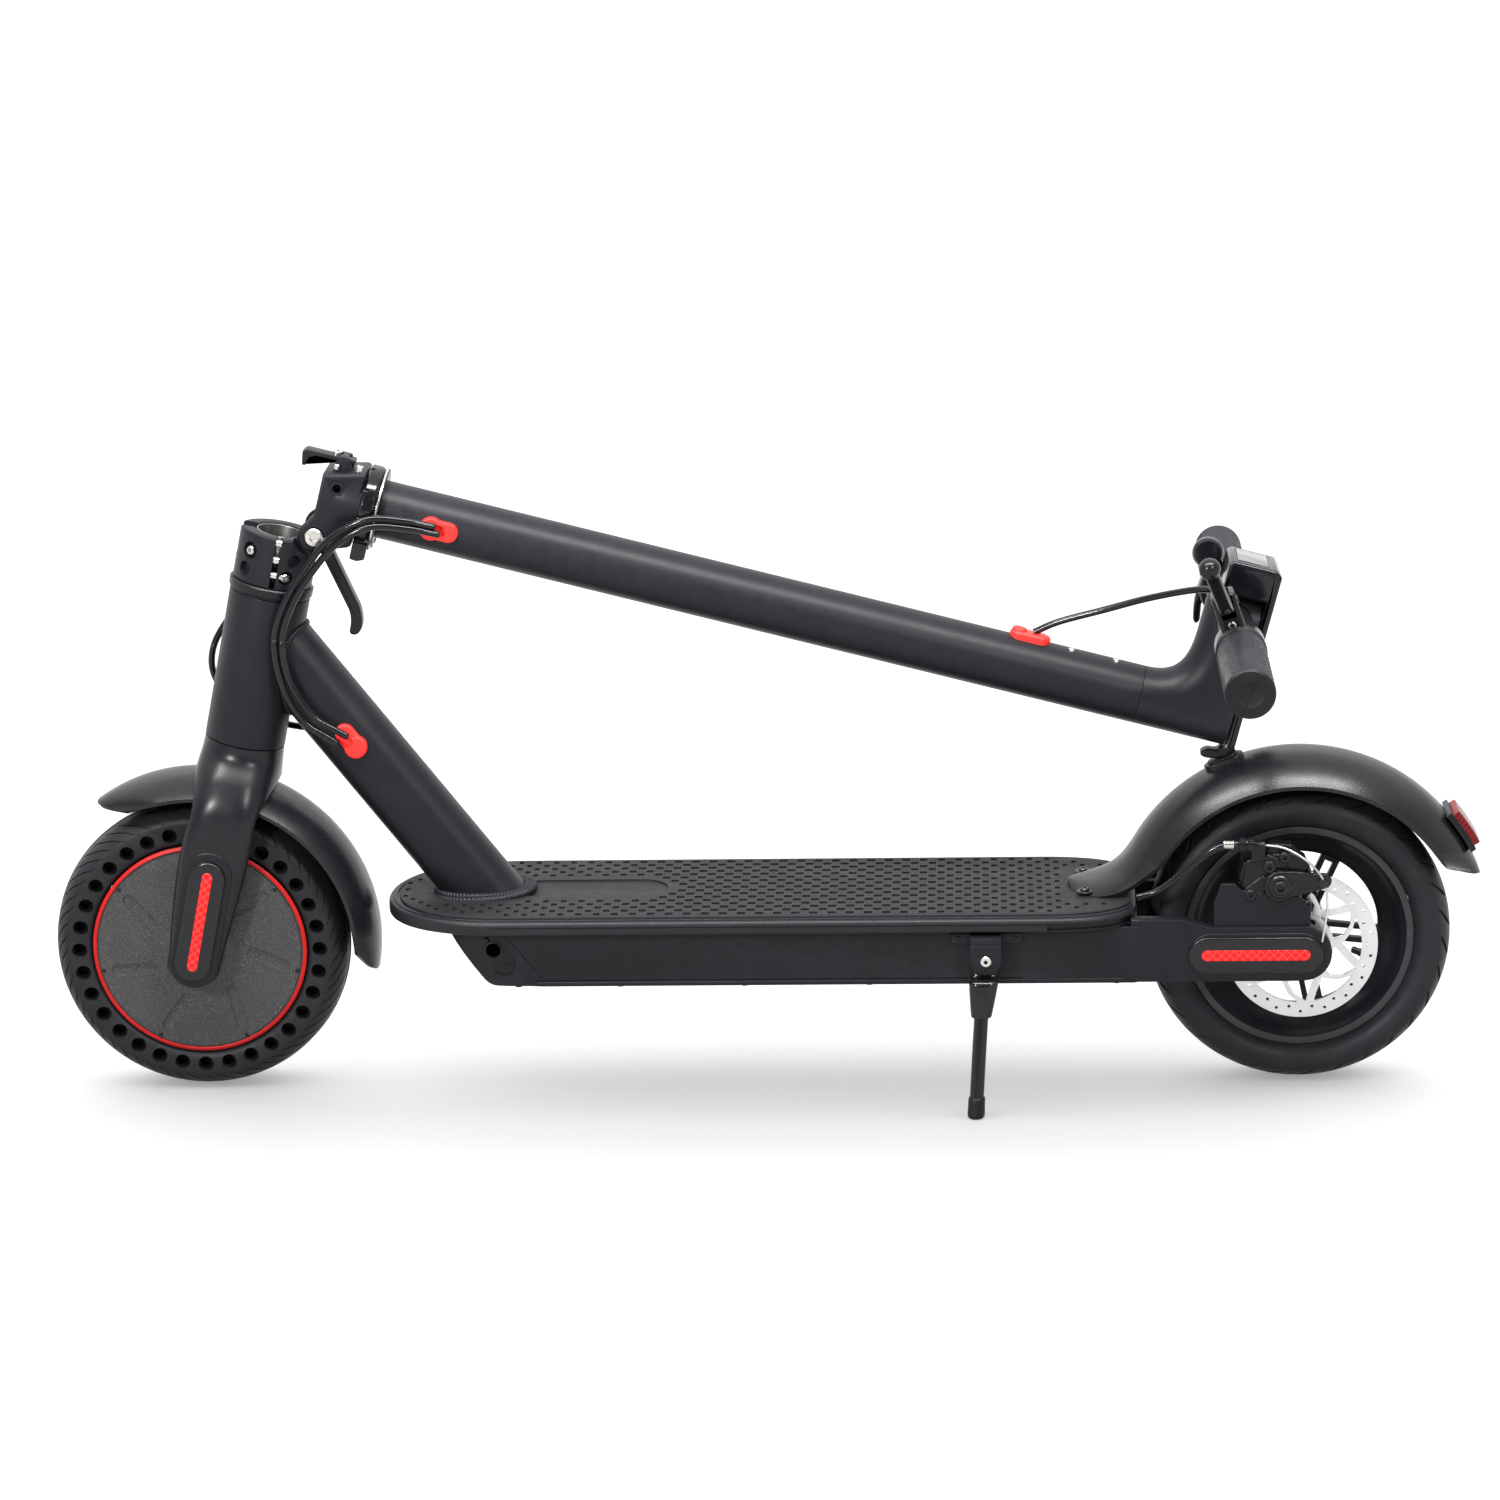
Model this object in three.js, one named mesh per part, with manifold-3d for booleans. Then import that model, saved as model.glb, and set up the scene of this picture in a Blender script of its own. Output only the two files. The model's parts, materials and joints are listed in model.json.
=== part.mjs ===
// Folding electric kick scooter, folded flat and standing on its kickstand.
// Millimetres, +Z up. The scooter's nose points along -X and its left side faces -Y.
import * as THREE from 'three';
import { mergeVertices } from 'three/addons/utils/BufferGeometryUtils.js';
import Module from 'manifold-3d';

const wasm = await Module();
wasm.setup();

// ---------------------------------------------------------------- driving dimensions
// X is measured rearwards from the front axle; the whole scooter is moved once, at the end,
// so that its box is centred on the origin.
const BOX_CENTRE_FROM_AXLE = 412.44;
const GAP = 0.3;

const FRONT_TYRE_R = 108;
const FRONT_RIM_R = 78.5;
const REAR_TYRE_R = 110;
const REAR_RIM_R = 82.7;
const RIM_DISH_R = 58.4; // inner edge of the rear rim's dish, where the spokes end
const TYRE_HALF_WIDTH = 25;
const WHEELBASE = 801;
const AXLE_R = 6;

const STEER_TILT = 12.24; // head angle from vertical, degrees
const STEER_OFFSET = 4.6; // steering axis behind the front axle
const HEAD_TUBE_R = 29;
const HEAD_LOW = 158.6; // heights along the steering axis, from the front axle
const HEAD_HIGH = 271;
const STEERER_R = 15.9;
const CAP_TOP = 279.2;
const BASE_R = 28.5;
const BASE_TOP = 317.5;

const FOLD_OFFSET = 26.4; // fold pivot behind the steering axis and behind the stem axis
const PIVOT_U = STEER_OFFSET + FOLD_OFFSET;
const PIVOT_W = 322;
const STEM_ANGLE = 104.8; // stem axis from vertical when folded, degrees
const STEM_T = -FOLD_OFFSET; // stem axis in the stem's own frame
const STEM_R = 21;
const STEM_SEAM = 600;
const BAR_T = -98.4;
const BAR_S = 650.7;
const BAR_R = 12.7;
const BAR_HALF = 205;
const GRIP_R = 17.5;
const GRIP_START = 100;
const GRIP_END = 212;
const DASH_FACE = 674.5;
const LEVER_DROP = 33; // brake lever plane below the bar's forward direction, degrees
const LEVER_OPEN = 52; // fold lever away from the stem, degrees

const DECK_TOP = 143;
const DECK_UNDER = 133;
const DECK_HALF = 75;
const DECK_NOSE = 138.5;
const DECK_TAIL = 683;
const TRAY_TOP = DECK_UNDER - GAP;
const TRAY_BOTTOM = 91;
const TRAY_HALF = 62;
const TRAY_NOSE = 178;
const TRAY_TAIL = 677;
const TRAY_WALL = 3;

const DOWN_TUBE_SLOPE = 52.8; // below horizontal, degrees
const DOWN_TUBE_FOOT = [209.8, 143];
const DOWN_TUBE_LENGTH = 256;
const DOWN_TUBE_HALF = [25.7, 23];

const FENDER_HALF = 38;
const FENDER_SKIN = 3;
const REAR_FENDER_R = 138;
const FRONT_FENDER_R = 131;

const DISC_Y = -36;
const DISC_R = 55;
const ARM_IN = 50;
const ARM_OUT = 60;

const KICK_PIVOT = [574, 113.5];
const CABLE_R = 2.5;

// ---------------------------------------------------------------- solids
const rad = THREE.MathUtils.degToRad;

function solid(geometry) {
  const bare = geometry.index ? geometry.toNonIndexed() : geometry.clone();
  bare.deleteAttribute('normal');
  bare.deleteAttribute('uv');
  const merged = mergeVertices(bare, 1e-4);
  return new wasm.Manifold(new wasm.Mesh({
    numProp: 3,
    vertProperties: new Float32Array(merged.attributes.position.array),
    triVerts: new Uint32Array(merged.index.array),
  }));
}

function geometryOf(manifold) {
  const mesh = manifold.getMesh();
  const geometry = new THREE.BufferGeometry();
  geometry.setAttribute('position', new THREE.BufferAttribute(Float32Array.from(mesh.vertProperties), 3));
  geometry.setIndex(new THREE.BufferAttribute(Uint32Array.from(mesh.triVerts), 1));
  return geometry;
}

function union(...parts) {
  return parts.reduce((whole, part) => whole.add(part));
}

// A flat outline in the X-Z plane, extruded along Y between y0 and y1.
function prism(outline, y0, y1, curveSegments = 5) {
  const shape = outline instanceof THREE.Shape
    ? outline
    : new THREE.Shape(outline.map(([x, z]) => new THREE.Vector2(x, z)));
  const geometry = new THREE.ExtrudeGeometry(shape, { depth: y1 - y0, bevelEnabled: false, curveSegments });
  geometry.rotateX(Math.PI / 2);
  geometry.translate(0, y1, 0);
  return solid(geometry);
}

// A flat outline in the X-Y plane, extruded up between z0 and z1.
function slab(outline, z0, z1, curveSegments = 5) {
  const geometry = new THREE.ExtrudeGeometry(outline, { depth: z1 - z0, bevelEnabled: false, curveSegments });
  geometry.translate(0, 0, z0);
  return solid(geometry);
}

function box(x0, x1, y0, y1, z0, z1) {
  const geometry = new THREE.BoxGeometry(x1 - x0, y1 - y0, z1 - z0);
  geometry.translate((x0 + x1) / 2, (y0 + y1) / 2, (z0 + z1) / 2);
  return solid(geometry);
}

function cylinderY(x, z, r, y0, y1, segments = 16) {
  const geometry = new THREE.CylinderGeometry(r, r, y1 - y0, segments);
  geometry.translate(x, (y0 + y1) / 2, z);
  return solid(geometry);
}

function cylinderZ(x, y, r, z0, z1, segments = 20) {
  const geometry = new THREE.CylinderGeometry(r, r, z1 - z0, segments);
  geometry.rotateX(Math.PI / 2);
  geometry.translate(x, y, (z0 + z1) / 2);
  return solid(geometry);
}

// A turned solid about the Y axis through (x, z); the profile is [radius, y] pairs.
function turnedY(x, z, profile, segments = 28) {
  const geometry = new THREE.LatheGeometry(profile.map(([r, y]) => new THREE.Vector2(r, y)), segments);
  geometry.translate(x, 0, z);
  return outward(solid(geometry), geometry);
}

// A turned solid about the Z axis through (x, 0); the profile is [radius, z] pairs.
function turnedZ(x, profile, segments = 24) {
  const geometry = new THREE.LatheGeometry(profile.map(([r, z]) => new THREE.Vector2(r, z)), segments);
  geometry.rotateX(Math.PI / 2);
  geometry.translate(x, 0, 0);
  return outward(solid(geometry), geometry);
}

// A turned profile may be drawn either way round, so its faces are turned outwards here.
function outward(manifold, geometry) {
  if (manifold.volume() > 0) {
    return manifold;
  }
  const flipped = geometry.index.array.slice();
  for (let i = 0; i < flipped.length; i += 3) {
    [flipped[i], flipped[i + 1]] = [flipped[i + 1], flipped[i]];
  }
  geometry.setIndex(new THREE.BufferAttribute(flipped, 1));
  return solid(geometry);
}

// A closed skin through rings that all have the same number of points.
function skin(rings) {
  const count = rings[0].length;
  const positions = [];
  const faces = [];
  for (const ring of rings) {
    for (const p of ring) {
      positions.push(p.x, p.y, p.z);
    }
  }
  for (let i = 0; i + 1 < rings.length; i += 1) {
    for (let j = 0; j < count; j += 1) {
      const k = (j + 1) % count;
      const [a, b, c, d] = [i * count + j, i * count + k, (i + 1) * count + k, (i + 1) * count + j];
      faces.push(a, b, c, a, c, d);
    }
  }
  return { positions, faces, count, rings };
}

function capped(skinned, capFaces) {
  const { positions, faces, count, rings } = skinned;
  const last = (rings.length - 1) * count;
  for (const [a, b, c] of capFaces) {
    faces.push(a, c, b);
    faces.push(last + a, last + b, last + c);
  }
  const geometry = new THREE.BufferGeometry();
  geometry.setAttribute('position', new THREE.Float32BufferAttribute(positions, 3));
  geometry.setIndex(faces);
  return outward(solid(geometry), geometry);
}

// A body through superellipse sections. Each section has its centre, its half sizes a (in the
// X-Z plane) and b (along Y), its roundness n, and the turn of its plane about Y in degrees.
function loft(sections, sides = 18) {
  const rings = sections.map(({ at, a, b, n = 2, turn = 0 }) => {
    const ring = [];
    for (let j = 0; j < sides; j += 1) {
      const angle = (j / sides) * 2 * Math.PI;
      const c = Math.cos(angle);
      const s = Math.sin(angle);
      const u = a * Math.sign(c) * Math.abs(c) ** (2 / n);
      const v = b * Math.sign(s) * Math.abs(s) ** (2 / n);
      ring.push(new THREE.Vector3(
        at[0] + u * Math.cos(rad(turn)),
        at[1] + v,
        at[2] - u * Math.sin(rad(turn)),
      ));
    }
    return ring;
  });
  const caps = [];
  for (let j = 1; j + 1 < sides; j += 1) {
    caps.push([0, j, j + 1]);
  }
  return capped(skin(rings), caps);
}

// A closed [radius, y] outline carried round the Y axis through (x, z) between two angles,
// which are measured from +X towards +Z.
function arcSweep(outline, x, z, from, to, steps) {
  const rings = [];
  for (let i = 0; i <= steps; i += 1) {
    const angle = rad(from + ((to - from) * i) / steps);
    rings.push(outline.map(([r, y]) => new THREE.Vector3(
      x + r * Math.cos(angle),
      y,
      z + r * Math.sin(angle),
    )));
  }
  const flat = outline.map(([r, y]) => new THREE.Vector2(r, y));
  return capped(skin(rings), THREE.ShapeUtils.triangulateShape(flat, []));
}

// A channel section for a mudguard: its crown at radius r, its rims lower by drop.
function channelSection(r, half, drop, thick) {
  const outer = [];
  const inner = [];
  const steps = 6;
  for (let i = 0; i <= steps; i += 1) {
    const f = -1 + (2 * i) / steps;
    const fall = drop * Math.abs(f) ** 2.4;
    outer.push([r - fall, f * half]);
    inner.unshift([r - fall - thick * (1 + 0.2 * Math.abs(f)), f * (half - thick * 0.75)]);
  }
  return [...outer, ...inner];
}

function stadium(cx, cy, length, width) {
  const r = width / 2;
  const half = length / 2 - r;
  const shape = new THREE.Shape();
  shape.moveTo(cx - half, cy - r);
  shape.lineTo(cx + half, cy - r);
  shape.absarc(cx + half, cy, r, -Math.PI / 2, Math.PI / 2, false);
  shape.lineTo(cx - half, cy + r);
  shape.absarc(cx - half, cy, r, Math.PI / 2, (3 * Math.PI) / 2, false);
  return shape;
}

// A round-nosed plan outline, symmetric about Y = 0. Its tail is rounded over tailX by tailY.
function plan(nose, tail, half, noseRound, tailX, tailY = tailX) {
  const shape = new THREE.Shape();
  shape.moveTo(nose, 0);
  shape.bezierCurveTo(nose, -half * 0.62, nose + noseRound * 0.35, -half, nose + noseRound, -half);
  shape.lineTo(tail - tailX, -half);
  shape.bezierCurveTo(tail - tailX * 0.35, -half, tail, -half + tailY * 0.45, tail, -half + tailY);
  shape.lineTo(tail, half - tailY);
  shape.bezierCurveTo(tail, half - tailY * 0.45, tail - tailX * 0.35, half, tail - tailX, half);
  shape.lineTo(nose + noseRound, half);
  shape.bezierCurveTo(nose + noseRound * 0.35, half, nose, half * 0.62, nose, 0);
  return shape;
}

function cable(points, radius, steps, sides = 8) {
  const curve = new THREE.CatmullRomCurve3(points.map((p) => new THREE.Vector3(...p)));
  const section = new THREE.Shape();
  for (let i = 0; i < sides; i += 1) {
    const angle = (i / sides) * 2 * Math.PI;
    const [x, y] = [radius * Math.cos(angle), radius * Math.sin(angle)];
    if (i === 0) {
      section.moveTo(x, y);
    } else {
      section.lineTo(x, y);
    }
  }
  section.closePath();
  return solid(new THREE.ExtrudeGeometry(section, { steps, extrudePath: curve, bevelEnabled: false }));
}

// ---------------------------------------------------------------- materials and groups
const finish = (color, roughness, metalness) => () => new THREE.MeshStandardMaterial({ color, roughness, metalness });
const blackPaint = finish(0x1c1d20, 0.5, 0.3);
const blackPlastic = finish(0x141518, 0.45, 0);
const glossPlastic = finish(0x0c0d10, 0.15, 0);
const rubber = finish(0x17181a, 0.8, 0);
const tyreRubber = finish(0x1a1b1e, 0.85, 0);
const hubGrey = finish(0x3b3d41, 0.5, 0.4);
const redRubber = finish(0xd81e1c, 0.5, 0);
const redLens = finish(0x5a0d10, 0.2, 0);
const steel = finish(0xc9c9c4, 0.3, 1);
const blackAlloy = finish(0x24262a, 0.4, 0.5);
const copper = finish(0x9a5a2c, 0.4, 0.9);
const cellWrap = finish(0x2b4f9a, 0.5, 0);

const scooter = new THREE.Group();
scooter.position.x = -BOX_CENTRE_FROM_AXLE;

// Steering frame: origin at the front axle, local Z up the steering axis.
const steering = new THREE.Group();
steering.position.z = FRONT_TYRE_R;
steering.rotation.y = rad(STEER_TILT);
scooter.add(steering);

// Stem frame: origin at the fold pivot, local Z up the stem, local X towards the rider.
const stem = new THREE.Group();
const pivotX = PIVOT_U * Math.cos(rad(STEER_TILT)) + PIVOT_W * Math.sin(rad(STEER_TILT));
const pivotZ = FRONT_TYRE_R - PIVOT_U * Math.sin(rad(STEER_TILT)) + PIVOT_W * Math.cos(rad(STEER_TILT));
stem.position.set(pivotX, 0, pivotZ);
stem.rotation.y = rad(STEM_ANGLE);
scooter.add(stem);

// Brake lever frame: origin on the handlebar's axis, local X out along the lever's plane.
const leverFrame = new THREE.Group();
leverFrame.position.set(BAR_T, 0, BAR_S);
leverFrame.rotation.y = rad(180 - LEVER_DROP);
stem.add(leverFrame);

function add(group, name, manifold, material) {
  const mesh = new THREE.Mesh(geometryOf(manifold), material());
  mesh.name = name;
  group.add(mesh);
}

// ---------------------------------------------------------------- deck
function deckTray() {
  const side = [[TRAY_NOSE, TRAY_TOP], [TRAY_TAIL, TRAY_TOP], [TRAY_TAIL, TRAY_BOTTOM], [214, TRAY_BOTTOM]];
  const body = prism(side, -TRAY_HALF, TRAY_HALF)
    .intersect(slab(plan(TRAY_NOSE, TRAY_TAIL, TRAY_HALF, 60, 6), TRAY_BOTTOM, TRAY_TOP));
  const inner = TRAY_HALF - TRAY_WALL;
  const hollowSide = [[190, TRAY_TOP + 5], [TRAY_TAIL - 4, TRAY_TOP + 5], [TRAY_TAIL - 4, TRAY_BOTTOM + TRAY_WALL],
    [220, TRAY_BOTTOM + TRAY_WALL]];
  const hollow = prism(hollowSide, -inner, inner)
    .intersect(slab(plan(TRAY_NOSE + 5, TRAY_TAIL - 4, inner, 56, 4), TRAY_BOTTOM, TRAY_TOP + 5));
  const chargeSocket = cylinderY(222, 113, 6, -TRAY_HALF - 2, -inner + 12, 20);
  const armSlots = [[-58.9, -ARM_IN + GAP], [ARM_IN - GAP, 58.9]]
    .map(([low, high]) => box(640, TRAY_TAIL + 5, low, high, 94, 150));
  return body.subtract(hollow).subtract(chargeSocket).subtract(union(...armSlots));
}

function deckPlate() {
  return slab(plan(DECK_NOSE, DECK_TAIL, DECK_HALF, 95, 64, 34), DECK_UNDER, DECK_TOP, 10);
}

function footMat() {
  const low = DECK_TOP + GAP;
  const high = DECK_TOP + 2.4;
  const sheet = slab(plan(DECK_NOSE + 8, DECK_TAIL - 5, DECK_HALF - 6, 88, 62, 32), low, high, 10);
  const tubeFoot = slab(stadium(207, 0, 88, 64), low - 1, high + 1);
  const recess = slab(stadium(287, 0, 112, 40), low - 1, high + 1);
  const fenderFoot = box(634, 700, -35, 35, low - 1, high + 1);
  return sheet.subtract(tubeFoot).subtract(recess).subtract(fenderFoot);
}

function bottomCover() {
  return slab(plan(216, 685, 56, 40, 6), TRAY_BOTTOM - GAP - 2.5, TRAY_BOTTOM - GAP);
}

add(scooter, 'deck_tray', deckTray(), blackPaint);
add(scooter, 'deck_plate', deckPlate(), blackPaint);
add(scooter, 'foot_mat', footMat(), rubber);
add(scooter, 'bottom_cover', bottomCover(), blackPlastic);
add(scooter, 'battery_pack', box(270, 560, -46, 38, TRAY_BOTTOM + 5, TRAY_TOP - 4), cellWrap);
add(scooter, 'controller_box', box(572, 632, -36, 36, TRAY_BOTTOM + 5, TRAY_TOP - 12), hubGrey);

// ---------------------------------------------------------------- frame tubes
function headTube() {
  const seat = 9;
  return turnedZ(STEER_OFFSET, [
    [HEAD_TUBE_R, HEAD_LOW], [HEAD_TUBE_R, HEAD_HIGH], [24, HEAD_HIGH], [24, HEAD_HIGH - seat],
    [20, HEAD_HIGH - seat], [20, HEAD_LOW + seat], [24, HEAD_LOW + seat], [24, HEAD_LOW], [HEAD_TUBE_R, HEAD_LOW],
  ]);
}

function headBearing(low) {
  return turnedZ(STEER_OFFSET, [[23.7, low], [23.7, low + 8], [16.3, low + 8], [16.3, low], [23.7, low]], 20);
}

// The down tube's solid bar between two distances up from its foot, grown or shrunk all round.
function downTubeBar(low, high, grow, sides) {
  const slope = rad(DOWN_TUBE_SLOPE);
  const [footX, footZ] = DOWN_TUBE_FOOT;
  return loft([high, low].map((up) => ({
    at: [footX - up * Math.cos(slope), 0, footZ + up * Math.sin(slope)],
    a: DOWN_TUBE_HALF[0] + grow,
    b: DOWN_TUBE_HALF[1] + grow,
    n: 2.3,
    turn: -90 - DOWN_TUBE_SLOPE,
  })), sides);
}

function downTube() {
  const outer = downTubeBar(-30, DOWN_TUBE_LENGTH, 0, 24);
  const bore = downTubeBar(-40, DOWN_TUBE_LENGTH + 30, -3, 20);
  const headClear = turnedZ(STEER_OFFSET, [
    [0, HEAD_LOW - 40], [HEAD_TUBE_R + GAP, HEAD_LOW - 40], [HEAD_TUBE_R + GAP, HEAD_HIGH + 90], [0, HEAD_HIGH + 90],
  ]).rotate([0, STEER_TILT, 0]).translate([0, 0, FRONT_TYRE_R]);
  const deckClear = box(100, 320, -60, 60, 60, DECK_TOP + GAP);
  const cut = outer.subtract(bore).subtract(headClear).subtract(deckClear);
  const pieces = cut.decompose();
  return pieces.reduce((best, piece) => (piece.volume() > best.volume() ? piece : best));
}

// A cable grommet: a flange that lies on a tube's side and a shank through its wall.
const GROMMET_LONG = 27;
const GROMMET_WIDE = 15;

function grommetOn(x, z, along, side, surface, reach) {
  const turned = (length, width, y0, y1) => {
    const blank = prism(stadium(0, 0, length, width), y0, y1, 6);
    return blank.rotate([0, -along, 0]).translate([x, 0, z]);
  };
  const flange = side < 0
    ? turned(GROMMET_LONG, GROMMET_WIDE, -surface - 4, -surface + reach)
    : turned(GROMMET_LONG, GROMMET_WIDE, surface - reach, surface + 4);
  const shank = side < 0
    ? turned(GROMMET_LONG - 8, GROMMET_WIDE - 7, -surface - 2, -surface + 6)
    : turned(GROMMET_LONG - 8, GROMMET_WIDE - 7, surface - 6, surface + 2);
  return { flange, shank };
}

const FRAME_GROMMET = [118, 266];

function frameGrommet(side) {
  const { flange, shank } = grommetOn(...FRAME_GROMMET, -DOWN_TUBE_SLOPE, side, 22.6, 6);
  return flange.subtract(downTubeBar(-20, DOWN_TUBE_LENGTH, GAP, 24)).add(shank);
}

function downTubeCut() {
  const holes = [-1, 1].map((side) => {
    const blank = prism(stadium(0, 0, GROMMET_LONG - 7.4, GROMMET_WIDE - 6.4), Math.min(0, side * 30),
      Math.max(0, side * 30), 6);
    return blank.rotate([0, DOWN_TUBE_SLOPE, 0]).translate([FRAME_GROMMET[0], 0, FRAME_GROMMET[1]]);
  });
  return downTube().subtract(union(...holes));
}

add(steering, 'head_tube', headTube(), blackPaint);
add(steering, 'bearing_lower', headBearing(HEAD_LOW + 0.7), steel);
add(steering, 'bearing_upper', headBearing(HEAD_HIGH - 8.7), steel);
add(scooter, 'down_tube', downTubeCut(), blackPaint);
add(scooter, 'frame_grommet_left', frameGrommet(-1), redRubber);
add(scooter, 'frame_grommet_right', frameGrommet(1), redRubber);

// ---------------------------------------------------------------- rear arms and axle
function rearArm(side) {
  const span = (a, b) => (side < 0 ? [-b, -a] : [a, b]);
  const outline = new THREE.Shape();
  outline.moveTo(TRAY_TAIL + 1, 91.2);
  outline.lineTo(WHEELBASE, 91.2);
  outline.absarc(WHEELBASE, 111.6, 20.4, -Math.PI / 2, Math.PI / 2, false);
  outline.lineTo(TRAY_TAIL + 1, 132);
  const plate = prism(outline, ...span(ARM_IN, ARM_OUT), 10);
  const tongue = box(645, TRAY_TAIL + 2, ...span(ARM_IN, ARM_OUT - 1.7), 95, 127);
  const coverShape = stadium(767, 111, 98, 27);
  const cover = prism(coverShape, ...span(ARM_OUT - 1, ARM_OUT + 4));
  let arm = union(plate, tongue, cover);
  if (side < 0) {
    const tabOutline = [[737, 130], [806, 130], [806, 146], [798, 152], [742, 152], [737, 147]];
    const caliperTab = prism(tabOutline, -ARM_OUT + 2, -54);
    arm = arm.add(caliperTab);
  }
  const axleHole = cylinderY(WHEELBASE, REAR_TYRE_R, AXLE_R + GAP, ...span(ARM_IN - 3, ARM_OUT - 1));
  const nutPocket = cylinderY(WHEELBASE, REAR_TYRE_R, 11, ...span(ARM_OUT - 6, ARM_OUT + 2));
  return arm.subtract(axleHole).subtract(nutPocket);
}

function axle(x, z, inner, outer, collar) {
  const shaft = cylinderY(x, z, AXLE_R, -outer, outer);
  const parts = [shaft];
  for (const side of [-1, 1]) {
    const nut = cylinderY(x, z, 9.5, Math.min(side * inner, side * outer), Math.max(side * inner, side * outer), 6);
    const [low, high] = [collar[0] * side, collar[1] * side].sort((a, b) => a - b);
    parts.push(nut, cylinderY(x, z, 10, low, high));
  }
  return union(...parts);
}

add(scooter, 'rear_arm_left', rearArm(-1), blackPaint);
add(scooter, 'rear_arm_right', rearArm(1), blackPaint);
add(scooter, 'rear_axle', axle(WHEELBASE, REAR_TYRE_R, 55.6, 58.5, [37.5, ARM_IN - GAP]), steel);

// ---------------------------------------------------------------- wheels
function tyre(x, z, outer, inner, treadHalf) {
  const shoulder = outer - 9;
  return turnedY(x, z, [
    [inner, -15], [inner + 8, -TYRE_HALF_WIDTH], [shoulder, -TYRE_HALF_WIDTH + 2.5], [outer, -treadHalf],
    [outer, treadHalf], [shoulder, TYRE_HALF_WIDTH - 2.5], [inner + 8, TYRE_HALF_WIDTH], [inner, 15], [inner, -15],
  ], 32);
}

function rearRim() {
  const ring = turnedY(WHEELBASE, REAR_TYRE_R, [
    [REAR_RIM_R, -15.5], [REAR_RIM_R, 15.5], [77.5, 15.5], [66, 10], [RIM_DISH_R, 8], [RIM_DISH_R, 2], [72, -6],
    [77, -15.5], [REAR_RIM_R, -15.5],
  ], 32);
  const hub = cylinderY(WHEELBASE, REAR_TYRE_R, 21, DISC_Y + 1.3, 30, 20);
  const pair = union(box(15, 61, 2.4, 7.6, 3.2, 7.2), box(15, 61, 2.4, 7.6, -7.2, -3.2));
  const spokes = [0, 1, 2, 3, 4].map((i) => pair.rotate([0, -(78 + 72 * i), 0])
    .translate([WHEELBASE, 0, REAR_TYRE_R]));
  const bore = cylinderY(WHEELBASE, REAR_TYRE_R, AXLE_R + 0.4, -60, 60);
  const bearingSeats = [cylinderY(WHEELBASE, REAR_TYRE_R, 13, DISC_Y, DISC_Y + 9),
    cylinderY(WHEELBASE, REAR_TYRE_R, 13, 23, 31)];
  return union(ring, hub, ...spokes).subtract(bore).subtract(union(...bearingSeats));
}

function brakeDisc() {
  const [low, high] = [DISC_Y - 0.9, DISC_Y + 0.9];
  const ring = cylinderY(WHEELBASE, REAR_TYRE_R, DISC_R, low, high, 32)
    .subtract(cylinderY(WHEELBASE, REAR_TYRE_R, DISC_R - 12, low - 1, high + 1, 28));
  const carrier = cylinderY(WHEELBASE, REAR_TYRE_R, 22, low, high, 20);
  const arm = box(18, DISC_R - 8, low, high, -4, 4);
  const arms = [0, 1, 2, 3, 4, 5].map((i) => arm.rotate([0, 60 * i + 15, 0])
    .translate([WHEELBASE, 0, REAR_TYRE_R]));
  const bore = cylinderY(WHEELBASE, REAR_TYRE_R, 14, low - 1, high + 1);
  return union(ring, carrier, ...arms).subtract(bore);
}

add(scooter, 'rear_tyre', tyre(WHEELBASE, REAR_TYRE_R, REAR_TYRE_R, REAR_RIM_R + GAP, 13), tyreRubber);
add(scooter, 'rear_rim', rearRim(), blackPaint);
add(scooter, 'brake_disc', brakeDisc(), steel);

function motorShell() {
  return turnedY(0, 0, [
    [FRONT_RIM_R, -15.5], [FRONT_RIM_R, 15.5], [57, 15.5], [57, -15.5], [FRONT_RIM_R, -15.5],
  ], 32);
}

function motorCover(side) {
  const inside = 15.5 + GAP;
  const profile = [
    [8, side * inside], [8, side * 30], [18, side * 30], [22, side * 24.6], [70, side * 23.6],
    [FRONT_RIM_R, side * 22.4], [FRONT_RIM_R, side * inside], [8, side * inside],
  ];
  return turnedY(0, 0, profile, 28);
}

function motorStator() {
  return cylinderY(0, 0, 50, -13, 13, 24).subtract(cylinderY(0, 0, AXLE_R + GAP, -14, 14));
}

add(steering, 'front_tyre', tyre(0, 0, FRONT_TYRE_R, FRONT_RIM_R + GAP, 14), tyreRubber);
add(steering, 'motor_shell', motorShell(), hubGrey);
add(steering, 'motor_cover_left', motorCover(-1), hubGrey);
add(steering, 'motor_cover_right', motorCover(1), hubGrey);
add(steering, 'motor_stator', motorStator(), copper);
add(steering, 'front_axle', axle(0, 0, 47.8, 50.6, [30.5, 45.2]), steel);

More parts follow.
